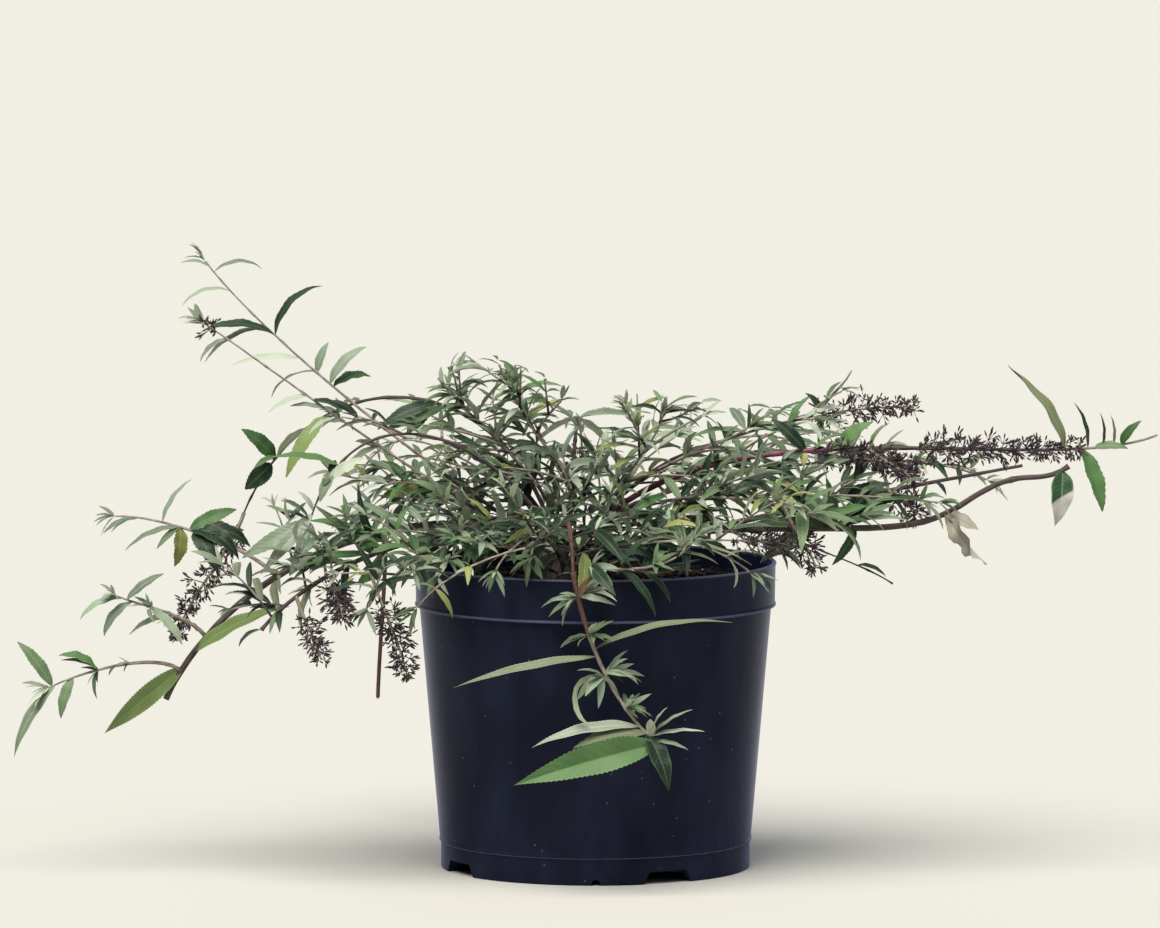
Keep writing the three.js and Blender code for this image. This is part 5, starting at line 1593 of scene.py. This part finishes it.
def pot_piece():
    points, faces = lathe(pot_profile(), ROUND_SIDES)
    heap = Heap()
    heap.put(points, faces)
    pot = heap.piece("nursery_pot", [polypropylene()])
    half, top = NOTCH_WIDTH / 2, NOTCH_WIDTH / 2 - NOTCH_SLOPE
    notch = [(-half, -1), (half, -1), (top, NOTCH_HEIGHT), (-top, NOTCH_HEIGHT)]
    hole = [(DRILLED_RADIUS * math.cos(a), DRILLED_RADIUS * (0.5 + math.sin(a)))
            for a in round_angles(DRILLED_SIDES)]
    cutters = []
    for i in range(NOTCHES):
        turn = 360 / NOTCHES * i
        cutters.append(prism(f"notch_{i}", notch, FOOT_RADIUS - FOOT_WIDTH - 3, FOOT_RADIUS + 5,
                             NOTCH_HEADING + turn))
        cutters.append(prism(f"drilled_{i}", hole, FOOT_RADIUS - 7, FOOT_RADIUS + 7,
                             DRILLED_HEADING + turn))
    cut_away(pot, cutters)
    pot.data.set_sharp_from_angle(angle=math.radians(32))
    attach(pot, "root")
    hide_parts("pot")


SLOPE_WIDTH = 12   # of the compost, down to the pot's wall


def compost_level(x, y):
    """The height of the lumpy compost surface."""
    inwards = inner_radius(COLLAR_FOOT) - math.hypot(x, y)
    slope = min(1, max(0, inwards / SLOPE_WIDTH)) ** 0.5
    lumps = noise.noise(Vector((x * 0.05, y * 0.05, 0))) * 1.6
    grains = noise.noise(Vector((x * 0.3, y * 0.3, 5))) * 0.9
    return SOIL_EDGE + (SOIL_TOP - SOIL_EDGE - 0.6) * slope + (lumps + grains) * (0.3 + slope)


def bed_piece(edge):
    profile = [(0, SOIL_TOP - SOIL_DEPTH), (edge - 4, SOIL_TOP - SOIL_DEPTH)]
    profile += [(edge * (1 - k / SOIL_RINGS), SOIL_TOP) for k in range(SOIL_RINGS)]
    points, faces = lathe(profile + [(0, SOIL_TOP)], SOIL_SIDES)
    for point in points:
        if point[2] > SOIL_TOP - 1:
            point[2] = compost_level(point[0], point[1])
    heap = Heap()
    heap.put(points, faces)
    bed = heap.piece("compost_bed", [compost_material("damp_compost", "#060606", "#100e0d")])
    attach(bed, "root")
    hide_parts("soil")


# The loose bits on the compost: material, dark and light colour, count, sizes, and width over
# length, which chance sets where none is given.
CRUMBS = [
    ("peat_crumbs", "#090807", "#15110f", 900, (1.5, 5.5), None),
    ("bark_chips", "#2c1d15", "#5f4632", 160, (3, 9), 0.35),
    ("perlite_grains", "#a9a498", "#cdc9bf", 40, (1, 2.4), None),
]
CRUMB_SEED = 90


def crumbs_piece(edge):
    chance = np.random.default_rng(CRUMB_SEED)
    crumb = Spindle([(0.15, 0.7), (0.5, 1.0), (0.85, 0.6)], 6)
    heap = Heap()
    for slot, (_, _, _, count, sizes, slender) in enumerate(CRUMBS):
        feet, tips, widths = [], [], []
        for _ in range(count):
            out, turn = (edge - 5) * math.sqrt(chance.random()), chance.uniform(0, 2 * math.pi)
            x, y = out * math.cos(turn), out * math.sin(turn)
            aim = unit(chance.normal(0, 1, 3) * (1, 1, 0.35))
            size = chance.uniform(*sizes)
            middle = np.array([x, y, compost_level(x, y) + 0.12 * size])
            feet.append(middle - aim * size / 2)
            tips.append(middle + aim * size / 2)
            widths.append(size * (slender or chance.uniform(0.5, 0.9)))
        shapes = crumb.laid(feet, tips, widths)
        shapes += chance.normal(0, 0.14, shapes.shape)
        heap.put(shapes, crumb.faces, (slot, slot))
    crumbs = heap.piece("compost_crumbs", [compost_material(*row[:3]) for row in CRUMBS])
    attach(crumbs, "root")


# ---------------------------------------------------------------- stage, light and camera

FLOOR_REACH = 60   # metres from the pot to the floor's edge
FLOOR_COLOUR = "#bbbbb6"
SKY_FRONT, SKY_BACK = "#5f6570", "#e0e8ff"
SKY_STRENGTH = 0.75


def stage():
    """A pale floor without an end, and a sky that is bright behind the plant."""
    mesh = bpy.data.meshes.new("floor")
    mesh.from_pydata([(-FLOOR_REACH, -FLOOR_REACH, 0), (FLOOR_REACH, -FLOOR_REACH, 0),
                      (FLOOR_REACH, FLOOR_REACH, 0), (-FLOOR_REACH, FLOOR_REACH, 0)], [],
                     [(0, 1, 2, 3)])
    floor = in_scene("floor", mesh)
    mesh.materials.append(new_material("pale_floor", {
        "Roughness": 0.9, "IOR": 1.45, "Specular IOR Level": 0.0,
        "Base Color": linear(FLOOR_COLOUR)})[0])
    world = bpy.data.worlds.new("studio")
    bpy.context.scene.world = world
    world.use_nodes = True
    tree = world.node_tree
    way = add(tree, "SeparateXYZ", {0: add(tree, "TexCoord", output="Generated")}, 1)
    behind = add(tree, "MapRange", {0: way, 1: 0.2, 2: 1.0})
    sky = add(tree, sockets={0: behind, 6: linear(SKY_FRONT), 7: linear(SKY_BACK)}, **MIX)
    fill(tree, tree.nodes["Background"], {"Color": sky, "Strength": SKY_STRENGTH})


def lamp(name, strength, colour, angle, pitch, heading):
    """Even light from far off, soft as from a wide panel. pitch is above level, and heading is
    where it comes from, 0 = +X and 90 = the back."""
    light = bpy.data.lights.new(name, "SUN")
    light.energy = strength
    light.color = linear(colour)[:3]
    light.angle = math.radians(angle)
    source = heading_vector(heading) * math.cos(math.radians(pitch))
    source[2] = math.sin(math.radians(pitch))
    in_scene(name, light).rotation_euler = Vector(source).to_track_quat("Z", "Y").to_euler()


CAMERA_DISTANCE = 7.0            # metres, as are the next two
CAMERA_TARGET = (-0.0098, 0, 0.2569)
VIEW_WIDTH = 0.7366
CAMERA_ELEVATION = 5.5
SENSOR_WIDTH = 36


def camera():
    """Looks along +Y from a little above, from far off as with a long lens."""
    lens = bpy.data.cameras.new("camera")
    lens.sensor_width = SENSOR_WIDTH
    lens.lens = SENSOR_WIDTH * CAMERA_DISTANCE / VIEW_WIDTH
    lens.clip_start, lens.clip_end = 0.5, 200
    made = in_scene("camera", lens)
    tilt = math.radians(CAMERA_ELEVATION)
    back = Vector((0, -math.cos(tilt), math.sin(tilt)))
    made.location = Vector(CAMERA_TARGET) + back * CAMERA_DISTANCE
    made.rotation_euler = back.to_track_quat("Z", "Y").to_euler()
    bpy.context.scene.camera = made


stage()
lamp("key", 5.4, "#fffaf0", 52, 64, 250)
lamp("fill", 0.4, "#f4f7ff", 60, 40, 320)
camera()
bpy.context.scene.view_settings.view_transform = "Standard"

pot_piece()
bed_edge = inner_radius(COLLAR_FOOT) - 0.3
bed_piece(bed_edge)
crumbs_piece(bed_edge)
stool_piece()
plant = grow_bush()
leaf_pieces(plant)
stem_pieces(plant)
spike_piece(plant)
